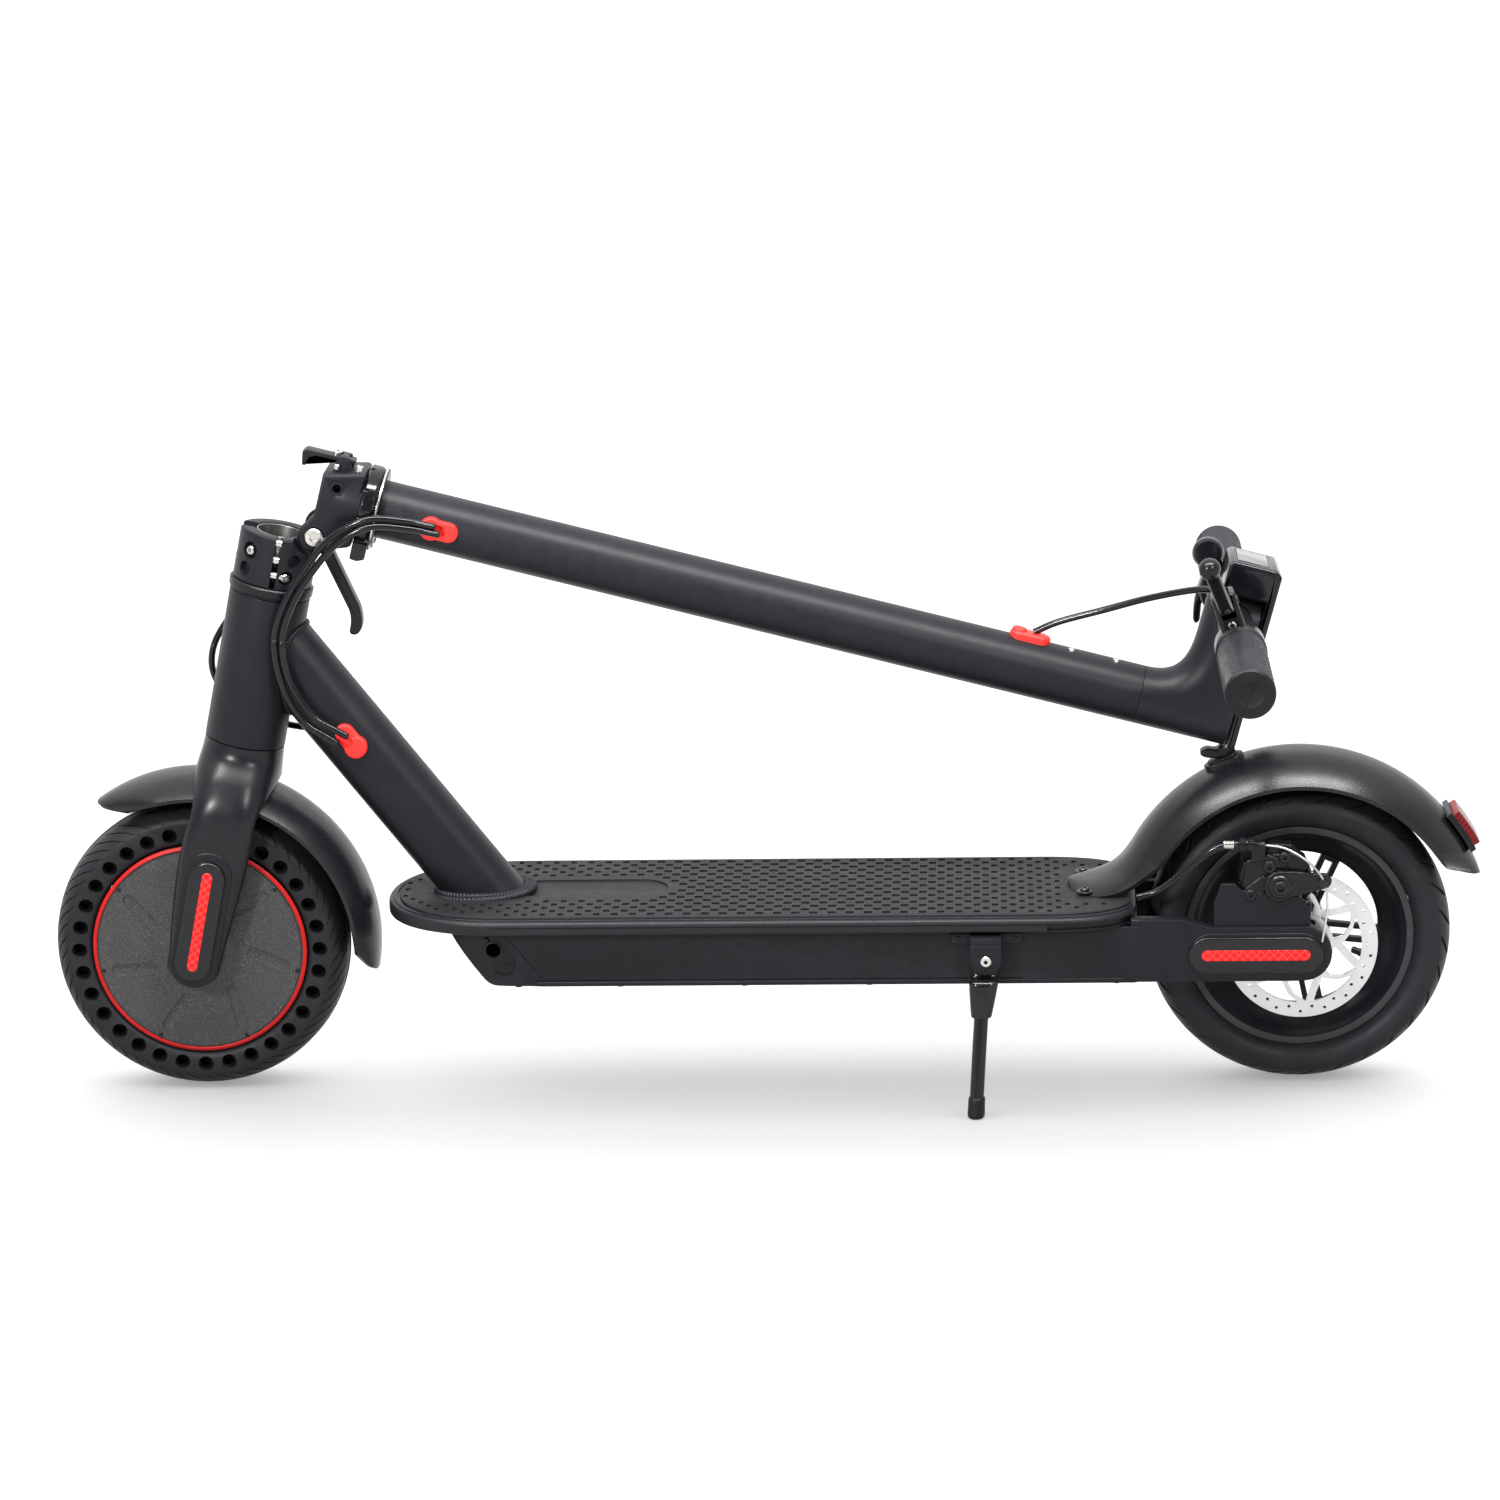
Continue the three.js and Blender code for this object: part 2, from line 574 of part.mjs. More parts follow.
// ---------------------------------------------------------------- fork and front mudguard
function fork() {
  const outer = loft([
    { at: [0, 0, -26], a: 20.5, b: 52, n: 8 },
    { at: [0, 0, 0], a: 20.5, b: 52, n: 8 },
    { at: [0.3, 0, 40], a: 24.5, b: 52, n: 7 },
    { at: [1.5, 0, 80], a: 28.6, b: 52, n: 5 },
    { at: [3, 0, 112], a: 30.5, b: 50, n: 3.4 },
    { at: [4, 0, 132], a: 30.6, b: 42, n: 2.6 },
    { at: [STEER_OFFSET, 0, 148], a: 29.4, b: 31, n: 2.1 },
    { at: [STEER_OFFSET, 0, HEAD_LOW - 0.4], a: 28.8, b: 28.8, n: 2 },
  ], 28);
  const sideView = new THREE.Shape();
  sideView.moveTo(-20.5, 0);
  sideView.absarc(0, 0, 20.5, Math.PI, 2 * Math.PI, false);
  sideView.lineTo(45, 60);
  sideView.lineTo(45, 170);
  sideView.lineTo(-45, 170);
  sideView.lineTo(-45, 60);
  const arch = new THREE.Shape();
  arch.moveTo(-45.5, -40);
  arch.lineTo(45.5, -40);
  arch.lineTo(45.5, 100);
  arch.absellipse(0, 100, 45.5, 34.5, 0, Math.PI, false);
  arch.lineTo(-45.5, -40);
  const archBlank = prism(arch, -60, 60, 8).rotate([0, 0, 90]);
  const legs = outer.intersect(prism(sideView, -60, 60, 8)).subtract(archBlank);
  const steerer = cylinderZ(STEER_OFFSET, 0, STEERER_R, HEAD_LOW - 12, 299);
  let whole = union(legs, steerer);
  for (const side of [-1, 1]) {
    const span = (a, b) => (side < 0 ? [-b, -a] : [a, b]);
    const cover = prism(stadium(0, 0, 91, 26), ...span(51, 56.5), 5).rotate([0, -90, 0]).translate([0, 0, 32]);
    whole = whole.add(cover);
    whole = whole.subtract(cylinderY(0, 0, AXLE_R + GAP, ...span(44, 50)));
    whole = whole.subtract(cylinderY(0, 0, 10.8, ...span(47.4, 51)));
  }
  return whole;
}

function frontFender() {
  const section = channelSection(FRONT_FENDER_R, 36, 13, FENDER_SKIN);
  const guard = arcSweep(section, 0, 0, -9.3 + STEER_TILT, 123.7 + STEER_TILT, 22);
  const boss = cylinderZ(STEER_OFFSET, 0, 9, 128.6, 133, 12);
  return guard.add(boss);
}

add(steering, 'fork', fork(), blackPaint);
add(steering, 'front_fender', frontFender(), blackPlastic);
add(steering, 'headset_cap', turnedZ(STEER_OFFSET, [
  [28.9, HEAD_HIGH + 0.4], [30.4, HEAD_HIGH + 2], [30.4, CAP_TOP - 1], [29.6, CAP_TOP], [16.3, CAP_TOP],
  [16.3, HEAD_HIGH + 0.4], [28.9, HEAD_HIGH + 0.4],
]), blackPlastic);

// ---------------------------------------------------------------- fold joint
const LEVER_HALF = 6; // fold lever's half width
const EAR_IN = 7.3;
const EAR_OUT = 15.6;
const CHEEK_IN = 16;
const CHEEK_OUT = 22;
const PIVOT_HOLE = 5.3;
const RING_MOUTH = 14; // lock ring's half opening, which the fold lever lies in

function foldBase() {
  const barrel = cylinderZ(STEER_OFFSET, 0, BASE_R, CAP_TOP + GAP, BASE_TOP, 28);
  const ear = new THREE.Shape();
  ear.moveTo(STEER_OFFSET + 8, 296);
  ear.lineTo(STEER_OFFSET + 8, BASE_TOP);
  ear.lineTo(PIVOT_U - 13, BASE_TOP);
  ear.absarc(PIVOT_U, PIVOT_W, 10, rad(150), rad(-30), true);
  ear.lineTo(PIVOT_U + 2, 300);
  const ears = [prism(ear, -EAR_OUT, -EAR_IN), prism(ear, EAR_IN, EAR_OUT)];
  const bore = cylinderZ(STEER_OFFSET, 0, 17.3, CAP_TOP - 5, BASE_TOP + 20, 24);
  const cheekRelief = [
    cylinderY(PIVOT_U, PIVOT_W, 15, -40, -EAR_OUT),
    cylinderY(PIVOT_U, PIVOT_W, 15, EAR_OUT, 40),
  ];
  const leverSlot = box(STEER_OFFSET + 18.8, 60, -EAR_IN, EAR_IN, 296, 340);
  const split = box(STEER_OFFSET + 2, STEER_OFFSET + 6, -40, -10, CAP_TOP - 5, 340);
  const hookNotch = box(-40, STEER_OFFSET - 15, -5.5, 5.5, 297.5, 340);
  const pin = cylinderY(PIVOT_U, PIVOT_W, PIVOT_HOLE, -30, 30);
  return union(barrel, ...ears).subtract(bore).subtract(union(...cheekRelief))
    .subtract(leverSlot).subtract(split).subtract(hookNotch).subtract(pin);
}

function foldBracket() {
  const side = new THREE.Shape();
  side.moveTo(-46, -3.5);
  side.lineTo(-14, -3.5);
  side.lineTo(-9, -7.5);
  side.absarc(0, 0, 11.7, rad(220), rad(-5), false);
  side.lineTo(1, 26.5);
  side.lineTo(-53, 26.5);
  const block = prism(side, -CHEEK_OUT, CHEEK_OUT, 8);
  const hub = cylinderZ(STEM_T, 0, STEM_R - 0.4, 26, 38.2);
  const spigot = cylinderZ(STEM_T, 0, STEM_R - 3.4, 26, 74);
  const lugs = [[-9, -4.6], [4.6, 9]].map(([y0, y1]) => prism(
    [[-46, 2], [-59, 4], [-59, 12], [-47, 16]], y0, y1));
  const hookPin = cylinderY(-55.5, 8, 1.9, -12, 12, 10);
  const earRoom = cylinderY(0, 0, 14.4, -CHEEK_IN, CHEEK_IN);
  const earRoomRear = box(-6, 20, -CHEEK_IN, CHEEK_IN, -20, 13);
  const leverRoom = box(-7.6, 30, -LEVER_HALF - 0.7, LEVER_HALF + 0.7, -20, 40);
  const pin = cylinderY(0, 0, PIVOT_HOLE, -30, 30);
  return union(block, hub, spigot, ...lugs).subtract(earRoom).subtract(earRoomRear)
    .subtract(leverRoom).subtract(pin).subtract(hookPin);
}

function pivotBolt() {
  return turnedY(0, 0, [
    [0, -25.5], [5.6, -25.5], [6.4, -24.8], [6.4, -22.3], [5, -22.3], [5, 22.3], [6.4, 22.3], [6.4, 24.8],
    [5.6, 25.5], [0, 25.5],
  ], 16);
}

function foldLever() {
  const side = new THREE.Shape();
  side.moveTo(-4, 0);
  side.absarc(0, 0, 7, rad(205), rad(-25), false);
  side.lineTo(4.2, 18);
  side.lineTo(3.8, 62);
  side.quadraticCurveTo(5, 70, 11, 77);
  side.lineTo(5, 80);
  side.quadraticCurveTo(-2, 74, -3.6, 62);
  side.lineTo(-3.8, 16);
  const blade = prism(side, -LEVER_HALF, LEVER_HALF);
  const groove = box(1.4, 9, -2.6, 2.6, 16, 58);
  const pin = cylinderY(0, 0, PIVOT_HOLE, -30, 30);
  return blade.subtract(groove).subtract(pin).rotate([0, LEVER_OPEN, 0]);
}

function safetyHook() {
  const side = [[-57.4, 16], [-57.4, -21], [-45.5, -21], [-45.5, -18], [-54.2, -17.5], [-54.2, 16]];
  const plate = prism(side, -4, 4);
  const barrel = cylinderY(-55.5, 8, 3.6, -4, 4, 12);
  const pin = cylinderY(-55.5, 8, 1.6, -8.6, 8.6, 10);
  return union(plate, barrel, pin);
}

function lockRing() {
  const ring = turnedZ(STEM_T, [
    [STEM_R, 27.2], [28.6, 27.2], [30, 28.4], [30, 37], [28.8, 38], [STEM_R, 38], [STEM_R, 27.2],
  ], 28);
  const ears = [-1, 1].map((side) => {
    const [low, high] = side < 0 ? [-RING_MOUTH - 4.5, -RING_MOUTH] : [RING_MOUTH, RING_MOUTH + 4.5];
    return prism([[-2, 27.2], [10.5, 27.2], [11, 33], [9, 38], [-2, 38]], low, high);
  });
  const mouth = box(STEM_T, 40, -RING_MOUTH, RING_MOUTH, 20, 50);
  return ring.subtract(mouth).add(union(...ears));
}

add(steering, 'fold_base', foldBase(), blackPaint);
add(stem, 'fold_bracket', foldBracket(), blackPaint);
add(stem, 'pivot_bolt', pivotBolt(), steel);
add(stem, 'fold_lever', foldLever(), blackAlloy);
add(stem, 'safety_hook', safetyHook(), blackAlloy);
add(stem, 'lock_ring', lockRing(), glossPlastic);

// ---------------------------------------------------------------- stem
const STEM_GROMMET_S = 86;
const TOP_GROMMET_S = 514;
const shankHole = (length, width, y0, y1) => prism(stadium(0, 0, length, width), y0, y1, 6).rotate([0, 90, 0]);

function stemTube() {
  const tube = turnedZ(STEM_T, [
    [STEM_R, 41.4], [STEM_R, STEM_SEAM - GAP], [STEM_R - 2.8, STEM_SEAM - GAP], [STEM_R - 2.8, 38.6], [29, 38.6],
    [29, 40.6], [28.2, 41.4], [STEM_R, 41.4],
  ], 28);
  const leverRoom = box(-4.9, 20, -8, 8, 30, 50);
  const sideHoles = [[-30, 0], [0, 30]].map(([y0, y1]) => shankHole(GROMMET_LONG - 7.4, GROMMET_WIDE - 6.4, y0, y1)
    .translate([STEM_T, 0, STEM_GROMMET_S]));
  const topHole = shankHole(GROMMET_LONG - 7.4, GROMMET_WIDE - 6.4, -30, 0).rotate([0, 0, -90])
    .translate([STEM_T, 0, TOP_GROMMET_S]);
  return tube.subtract(leverRoom).subtract(union(...sideHoles, topHole));
}

function stemGrommet(quarter, s) {
  const flange = shankHole(GROMMET_LONG, GROMMET_WIDE, -STEM_R - 3.6, -STEM_R + 6)
    .subtract(cylinderZ(0, 0, STEM_R + GAP, -40, 40, 28));
  const shank = shankHole(GROMMET_LONG - 8, GROMMET_WIDE - 7, -STEM_R - 2, -STEM_R + 5);
  return union(flange, shank).rotate([0, 0, quarter]).translate([STEM_T, 0, s]);
}

function stemHead() {
  const column = cylinderZ(STEM_T, 0, STEM_R - 0.4, STEM_SEAM, 668, 28);
  const plug = cylinderZ(STEM_T, 0, STEM_R - 3.4, STEM_SEAM - 22, STEM_SEAM + 10);
  const side = new THREE.Shape();
  side.moveTo(STEM_T, 606);
  side.lineTo(-44, 606);
  side.bezierCurveTo(-47, 618, -56, 628.5, -80, 628.5);
  side.lineTo(-106, 628.5);
  side.quadraticCurveTo(-116, 630, -118, 642);
  side.lineTo(-118, 668);
  side.lineTo(STEM_T, 668);
  const neck = prism(side, -18, 18, 7);
  const barHole = cylinderY(BAR_T, BAR_S, BAR_R + GAP, -40, 40, 20);
  const clampSplit = box(-125, BAR_T, -40, 40, BAR_S - 0.8, BAR_S + 0.8);
  return union(column, plug, neck).subtract(barHole).subtract(clampSplit);
}

function dashCover() {
  const side = new THREE.Shape();
  side.moveTo(-8, 668.4);
  side.lineTo(-8, 671);
  side.lineTo(-12, DASH_FACE);
  side.lineTo(-139, DASH_FACE);
  side.lineTo(-143, 670);
  side.lineTo(-143, 638);
  side.lineTo(-140, 635.6);
  side.lineTo(-118.5, 635.6);
  side.lineTo(-118.5, 668.4);
  const shell = prism(side, -24, 24);
  const well = cylinderZ(-60, 0, 8.3, 660, 680);
  return shell.subtract(well);
}

function handlebar() {
  return cylinderY(BAR_T, BAR_S, BAR_R, -BAR_HALF, BAR_HALF, 20)
    .subtract(cylinderY(BAR_T, BAR_S, BAR_R - 2.2, -BAR_HALF - 5, BAR_HALF + 5, 20));
}

function grip(side) {
  const y = (v) => side * v;
  return turnedY(BAR_T, BAR_S, [
    [0, y(BAR_HALF + 1)], [BAR_R + GAP, y(BAR_HALF + 1)], [BAR_R + GAP, y(GRIP_START)], [GRIP_R, y(GRIP_START)],
    [GRIP_R, y(GRIP_END - 1.5)], [GRIP_R - 1.5, y(GRIP_END)], [0, y(GRIP_END)],
  ], 24);
}

add(stem, 'stem_tube', stemTube(), blackPaint);
add(stem, 'stem_head', stemHead(), blackPaint);
add(stem, 'stem_grommet_left', stemGrommet(0, STEM_GROMMET_S), redRubber);
add(stem, 'stem_grommet_right', stemGrommet(180, STEM_GROMMET_S), redRubber);
add(stem, 'stem_grommet_top', stemGrommet(-90, TOP_GROMMET_S), redRubber);
add(stem, 'handlebar', handlebar(), blackPaint);
add(stem, 'grip_left', grip(-1), rubber);
add(stem, 'grip_right', grip(1), rubber);
add(stem, 'dash_cover', dashCover(), glossPlastic);
add(stem, 'power_button', cylinderZ(-60, 0, 7.9, 670, 675.4), blackPlastic);

// ---------------------------------------------------------------- brake lever, throttle, bell
const LEVER_PIVOT_E = 34; // out from the handlebar's axis
const LEVER_PIVOT_Y = -88;
const BALL_E = 84;
const BALL_Y = -182;

function brakeLeverBracket() {
  const clamp = cylinderY(0, 0, 18, -98, -80, 20).subtract(cylinderY(0, 0, BAR_R + GAP, -110, -70, 20));
  const arm = box(15.5, 42, -97.5, -76, -8.5, 8.5);
  const barrel = cylinderY(30, 0, 4.4, -77, -60, 12);
  const bladeRoom = union(
    box(LEVER_PIVOT_E - 9.5, 60, -120, -79.5, -5, 5),
    box(LEVER_PIVOT_E - 9.5, 60, LEVER_PIVOT_Y - 3, LEVER_PIVOT_Y + 9.5, -5, 5),
  );
  const pin = cylinderZ(LEVER_PIVOT_E, LEVER_PIVOT_Y, 3.3, -20, 20, 14);
  return union(clamp, arm, barrel).subtract(bladeRoom).subtract(pin);
}

function brakeLever() {
  const outline = new THREE.Shape();
  outline.moveTo(LEVER_PIVOT_E + 7, LEVER_PIVOT_Y + 1);
  outline.absarc(LEVER_PIVOT_E, LEVER_PIVOT_Y, 7, 0, Math.PI, false);
  outline.lineTo(LEVER_PIVOT_E - 5, LEVER_PIVOT_Y - 14);
  outline.quadraticCurveTo(LEVER_PIVOT_E + 6, LEVER_PIVOT_Y - 50, BALL_E - 5, BALL_Y + 3);
  outline.lineTo(BALL_E + 2, BALL_Y - 1);
  outline.quadraticCurveTo(LEVER_PIVOT_E + 18, LEVER_PIVOT_Y - 44, LEVER_PIVOT_E + 6.5, LEVER_PIVOT_Y - 12);
  const blade = slab(outline, -4.6, 4.6, 6);
  const ballShape = new THREE.SphereGeometry(7, 12, 8);
  ballShape.translate(BALL_E, BALL_Y, 0);
  const pin = cylinderZ(LEVER_PIVOT_E, LEVER_PIVOT_Y, 3, -9.5, 9.5, 14);
  return union(blade, solid(ballShape), pin);
}

function throttleHousing() {
  const bore = cylinderY(BAR_T, BAR_S, BAR_R + GAP, 60, 100, 20);
  return cylinderY(BAR_T, BAR_S, 20.5, 74, 88, 24).subtract(bore);
}

function throttlePaddle() {
  const hub = cylinderY(0, 0, 17, 88.3, 98, 20);
  const tab = new THREE.Shape();
  tab.moveTo(-8, -12);
  tab.lineTo(-6, -18);
  tab.quadraticCurveTo(10, -22, 30, -17);
  tab.quadraticCurveTo(33, -13, 29, -12);
  tab.quadraticCurveTo(18, -14, 8, -12);
  const thumb = prism(tab, 88.5, 99.6);
  const bore = cylinderY(0, 0, BAR_R + GAP, 60, 110, 20);
  return union(hub, thumb).subtract(bore).translate([BAR_T, 0, BAR_S]);
}

function bell() {
  const clamp = cylinderY(BAR_T, BAR_S, 16.5, 46, 58, 20);
  const stalk = prism([[-100, 640], [-124, 622], [-134, 630], [-106, 656]], 49, 55);
  const dome = new THREE.SphereGeometry(11.5, 12, 7);
  dome.scale(1, 0.8, 1);
  dome.translate(-127.5, 55, 627);
  const bore = cylinderY(BAR_T, BAR_S, BAR_R + GAP, 30, 70, 20);
  return union(clamp, stalk, solid(dome)).subtract(bore);
}

add(leverFrame, 'brake_lever_bracket', brakeLeverBracket(), blackAlloy);
add(leverFrame, 'brake_lever', brakeLever(), blackAlloy);
add(stem, 'throttle_housing', throttleHousing(), blackPlastic);
add(stem, 'throttle_paddle', throttlePaddle(), glossPlastic);
add(stem, 'bell', bell(), glossPlastic);

// ---------------------------------------------------------------- rear mudguard, light and latch
function rearFender() {
  const section = channelSection(REAR_FENDER_R, FENDER_HALF, 19, FENDER_SKIN);
  const guard = arcSweep(section, WHEELBASE, REAR_TYRE_R, 18, 152, 24);
  const foot = new THREE.Shape();
  const footLow = DECK_TOP + GAP;
  foot.moveTo(636, footLow);
  foot.lineTo(690, footLow);
  foot.quadraticCurveTo(688, 158, 694, 171);
  foot.lineTo(680, 176);
  foot.quadraticCurveTo(664, 152, 640, footLow + 4);
  const base = prism(foot, -34, 34);
  const tyreSide = cylinderY(WHEELBASE, REAR_TYRE_R, REAR_FENDER_R - 2, -12, 12, 36);
  const latchBase = box(738, 759, -9, 9, 226, 242).subtract(tyreSide);
  const latchHole = cylinderZ(748.5, 0, 3.8, 220, 250, 14);
  return union(guard, base, latchBase).subtract(latchHole);
}

function tailLight() {
  const inner = REAR_FENDER_R + GAP;
  const outer = REAR_FENDER_R + 10;
  const section = [[inner, -19], [outer - 2, -17.5], [outer, -14], [outer, 14], [outer - 2, 17.5], [inner, 19]];
  return arcSweep(section, WHEELBASE, REAR_TYRE_R, 27, 40.5, 6);
}

function latchKnob() {
  const stalk = cylinderZ(748.5, 0, 3.5, 231, 244, 14);
  const wing = prism([[733, 244.5], [741, 242.6], [757, 242.6], [758, 246], [752, 250.5], [740, 250.5]], -6, 6);
  return union(stalk, wing);
}

add(scooter, 'rear_fender', rearFender(), blackPlastic);
add(scooter, 'tail_light', tailLight(), redLens);
add(scooter, 'latch_knob', latchKnob(), blackPlastic);

// ---------------------------------------------------------------- rear brake
function caliperBody() {
  const side = new THREE.Shape();
  side.moveTo(758, 152.4);
  side.lineTo(806, 152.4);
  side.lineTo(810, 160);
  side.lineTo(800, 178);
  side.lineTo(772, 186);
  side.lineTo(757, 176);
  const body = prism(side, -53.6, -27);
  const discSlot = box(740, 830, DISC_Y - 2.2, DISC_Y + 2.2, 130, 171);
  const barrel = cylinderZ(0, 0, 5, -11, 11, 12).rotate([0, 90, 0]).translate([762, -56, 191]);
  const post = prism([[763, 180], [772, 180], [771, 192], [764, 192]], -58, -48);
  return union(body.subtract(discSlot), barrel, post);
}

function caliperArm() {
  const boss = cylinderY(782.4, 160, 7, -61.5, -54, 14);
  const arm = prism([[779, 154], [784, 154], [818, 161], [818, 168], [812, 169], [782, 166]], -60, -56.5);
  const clampBolt = cylinderY(814.5, 164.5, 3.6, -62.6, -55, 12);
  return union(boss, arm, clampBolt);
}

add(scooter, 'caliper_body', caliperBody(), blackAlloy);
add(scooter, 'caliper_arm', caliperArm(), blackAlloy);

// ---------------------------------------------------------------- kickstand
function kickstandBracket() {
  const [px, pz] = KICK_PIVOT;
  const wall = -TRAY_HALF - GAP;
  const plate = box(549, 600, wall - 3.4, wall, 118, 130);
  const lug = prism([[px - 11, 130], [px - 11, 106], [px + 11, 106], [px + 11, 130]], wall - 3.4, wall);
  const cheekSide = new THREE.Shape();
  cheekSide.moveTo(px - 11, 125);
  cheekSide.absarc(px, pz, 11, Math.PI, 2 * Math.PI, false);
  cheekSide.lineTo(px + 11, 125);
  const cheek = prism(cheekSide, -80, -76.2, 8);
  const bridge = box(px - 11, px + 11, -80, wall, 124.5, 130);
  const hole = cylinderY(px, pz, 4.3, -90, -60, 14);
  return union(plate, lug, cheek, bridge).subtract(hole);
}

function kickstandLeg() {
  const [px, pz] = KICK_PIVOT;
  const tongue = cylinderY(px, pz, 8.6, -75.8, -66.1, 18);
  const pin = cylinderY(px, pz, 4, -82.5, -65.9, 14);
  const socket = loft([
    { at: [px - 0.2, -71, pz - 1], a: 7, b: 4.6, n: 3 },
    { at: [px - 1, -71, 101], a: 9.4, b: 4.7, n: 3 },
    { at: [px - 1.4, -74.6, 98], a: 10.2, b: 8.2, n: 3 },
    { at: [px - 3.4, -79.5, 72], a: 7.6, b: 7.4, n: 2.2 },
  ], 14);
  const rod = loft([
    { at: [px - 3.2, -79, 76], a: 5.2, b: 5.2 },
    { at: [px - 8, -93, 7], a: 5.2, b: 5.2 },
  ], 12);
  const foot = loft([
    { at: [px - 7.3, -91, 12], a: 6.2, b: 6.2 },
    { at: [px - 8, -93, 0], a: 6.6, b: 7.4 },
  ], 12);
  return union(tongue, pin, socket, rod, foot);
}

add(scooter, 'kickstand_bracket', kickstandBracket(), blackPaint);
add(scooter, 'kickstand_leg', kickstandLeg(), blackPaint);

// ---------------------------------------------------------------- cables
const brakeRoute = [
  [186, -28.2, 424], [164, -34, 430], [138, -36.5, 431.5], [112, -36, 418], [92, -34.5, 395],
  [76, -34, 369], [68, -33.5, 342], [72, -32.5, 310], [86, -31.5, 283], [110, -29.6, 265],
];
const dashRoute = [
  [191, -28.2, 416.5], [168, -33, 422.5], [140, -36, 424.5], [117, -36.5, 411.5], [97.5, -34.5, 390],
  [82.5, -34, 366], [75, -33.5, 341], [79.5, -32.5, 313], [96, -31.5, 287], [120, -29.6, 272],
];
const throttleRoute = [
  [188, 28.2, 421], [163, 34, 430], [134, 36.5, 432], [100, 37, 412], [66, 36, 385],
  [34, 34, 354], [13, 33, 322], [15, 34, 294], [42, 35, 270], [80, 33, 260], [114, 29.6, 265],
];
const leverRoute = [
  [-123.6, -58.6, 634.3], [-126, -50, 630], [-124, -36, 616], [-107, -20, 588], [-87, -10, 559.5], [-67, -3, 531],
  [-53.5, 0, 517],
];
const rearBrakeRoute = [
  [683, -47, 150], [694, -48, 153.4], [706, -50, 161], [720, -52, 174], [734, -54, 186], [744, -55, 190.6],
  [750, -55.2, 191.4],
];

add(scooter, 'brake_cable', cable(brakeRoute, CABLE_R, 18), glossPlastic);
add(scooter, 'dash_lead', cable(dashRoute, CABLE_R, 18), glossPlastic);
add(scooter, 'throttle_lead', cable(throttleRoute, CABLE_R, 20), glossPlastic);
add(stem, 'brake_lever_cable', cable(leverRoute, CABLE_R, 14), glossPlastic);
add(scooter, 'rear_brake_cable', cable(rearBrakeRoute, CABLE_R, 10), glossPlastic);

export default scooter;
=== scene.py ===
"""A folded electric kick scooter on its kickstand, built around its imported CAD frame.

Shapes are written in millimetres in a few local frames that come from the CAD joints, and every
piece is placed in metres in the row's own frame.
"""
import json
import math

import bmesh
import bpy
from mathutils import Matrix, Vector


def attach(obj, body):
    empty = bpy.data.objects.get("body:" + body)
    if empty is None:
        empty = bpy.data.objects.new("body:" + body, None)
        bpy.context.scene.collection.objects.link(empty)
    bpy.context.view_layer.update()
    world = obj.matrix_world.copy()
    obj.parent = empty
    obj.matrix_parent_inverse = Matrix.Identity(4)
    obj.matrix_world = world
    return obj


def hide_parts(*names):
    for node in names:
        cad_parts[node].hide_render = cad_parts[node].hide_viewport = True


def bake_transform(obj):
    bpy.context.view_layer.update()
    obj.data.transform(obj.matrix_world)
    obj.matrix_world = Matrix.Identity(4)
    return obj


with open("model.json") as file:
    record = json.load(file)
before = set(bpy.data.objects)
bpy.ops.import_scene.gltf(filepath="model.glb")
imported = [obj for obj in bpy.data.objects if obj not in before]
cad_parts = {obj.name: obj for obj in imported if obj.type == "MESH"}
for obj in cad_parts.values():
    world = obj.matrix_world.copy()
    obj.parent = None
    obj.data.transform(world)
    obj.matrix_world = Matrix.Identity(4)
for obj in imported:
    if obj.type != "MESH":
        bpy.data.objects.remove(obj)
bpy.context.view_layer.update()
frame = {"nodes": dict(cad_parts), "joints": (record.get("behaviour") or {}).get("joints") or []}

MM = 0.001
JOINT = {joint["name"]: joint for joint in frame["joints"]}
UP = Vector((0, 0, 1))

# Turns that stand a frame's Z along the -Y, -X or +X of the frame before it.
FACE_LEFT = Matrix.Rotation(math.radians(90), 4, "X")
FACE_BACK = Matrix.Rotation(math.radians(-90), 4, "Y")
FACE_ALONG = Matrix.Rotation(math.radians(90), 4, "Y")

# Centres, in the local frame of the piece: the head tube's on STEER; the stem's column, the bracket's
# side hole and the hook's pin on STEM; the brake lever's pin on LEVER; the caliper's boss on ROAD.
HEAD = (4.6, 0)
COLUMN = (-26.4, 0)
SIDE_HOLE = (-38.5, 8.5)
HOOK_PIN = (-55.5, 8)
LEVER_PIN = (34, -88)
CALIPER_BOSS = (784, 161.5)


# ---------------------------------------------------------------- local frames
def pivot(joint):
    return Vector(JOINT[joint]["pos_m"])


def millimetres(origin, up=UP):
    """A millimetre frame at origin, with its Z along up and its Y along the row's Y."""
    z = up.normalized()
    x = Vector((0, 1, 0)).cross(z)
    turn = Matrix((x, Vector((0, 1, 0)), z)).transposed().to_4x4()
    return Matrix.Translation(origin) @ turn @ Matrix.Scale(MM, 4)


FRONT_AXLE = pivot("front_wheel_spin")
REAR_AXLE = pivot("rear_wheel_spin")
ROAD = millimetres(Vector((FRONT_AXLE.x, 0, 0)))
FRONT = millimetres(FRONT_AXLE)
REAR = millimetres(REAR_AXLE)
STEER = millimetres(FRONT_AXLE, Vector(JOINT["steering"]["axis"]))
STEM = millimetres(pivot("stem_fold"), Vector(JOINT["lock_ring_turn"]["axis"]))
BAR = millimetres(Vector((pivot("throttle_turn").x, 0, pivot("throttle_turn").z)),
                  Vector(JOINT["lock_ring_turn"]["axis"]))
LEVER = millimetres(Vector((pivot("throttle_turn").x, 0, pivot("throttle_turn").z)),
                    -Vector(JOINT["brake_lever_pull"]["axis"]))


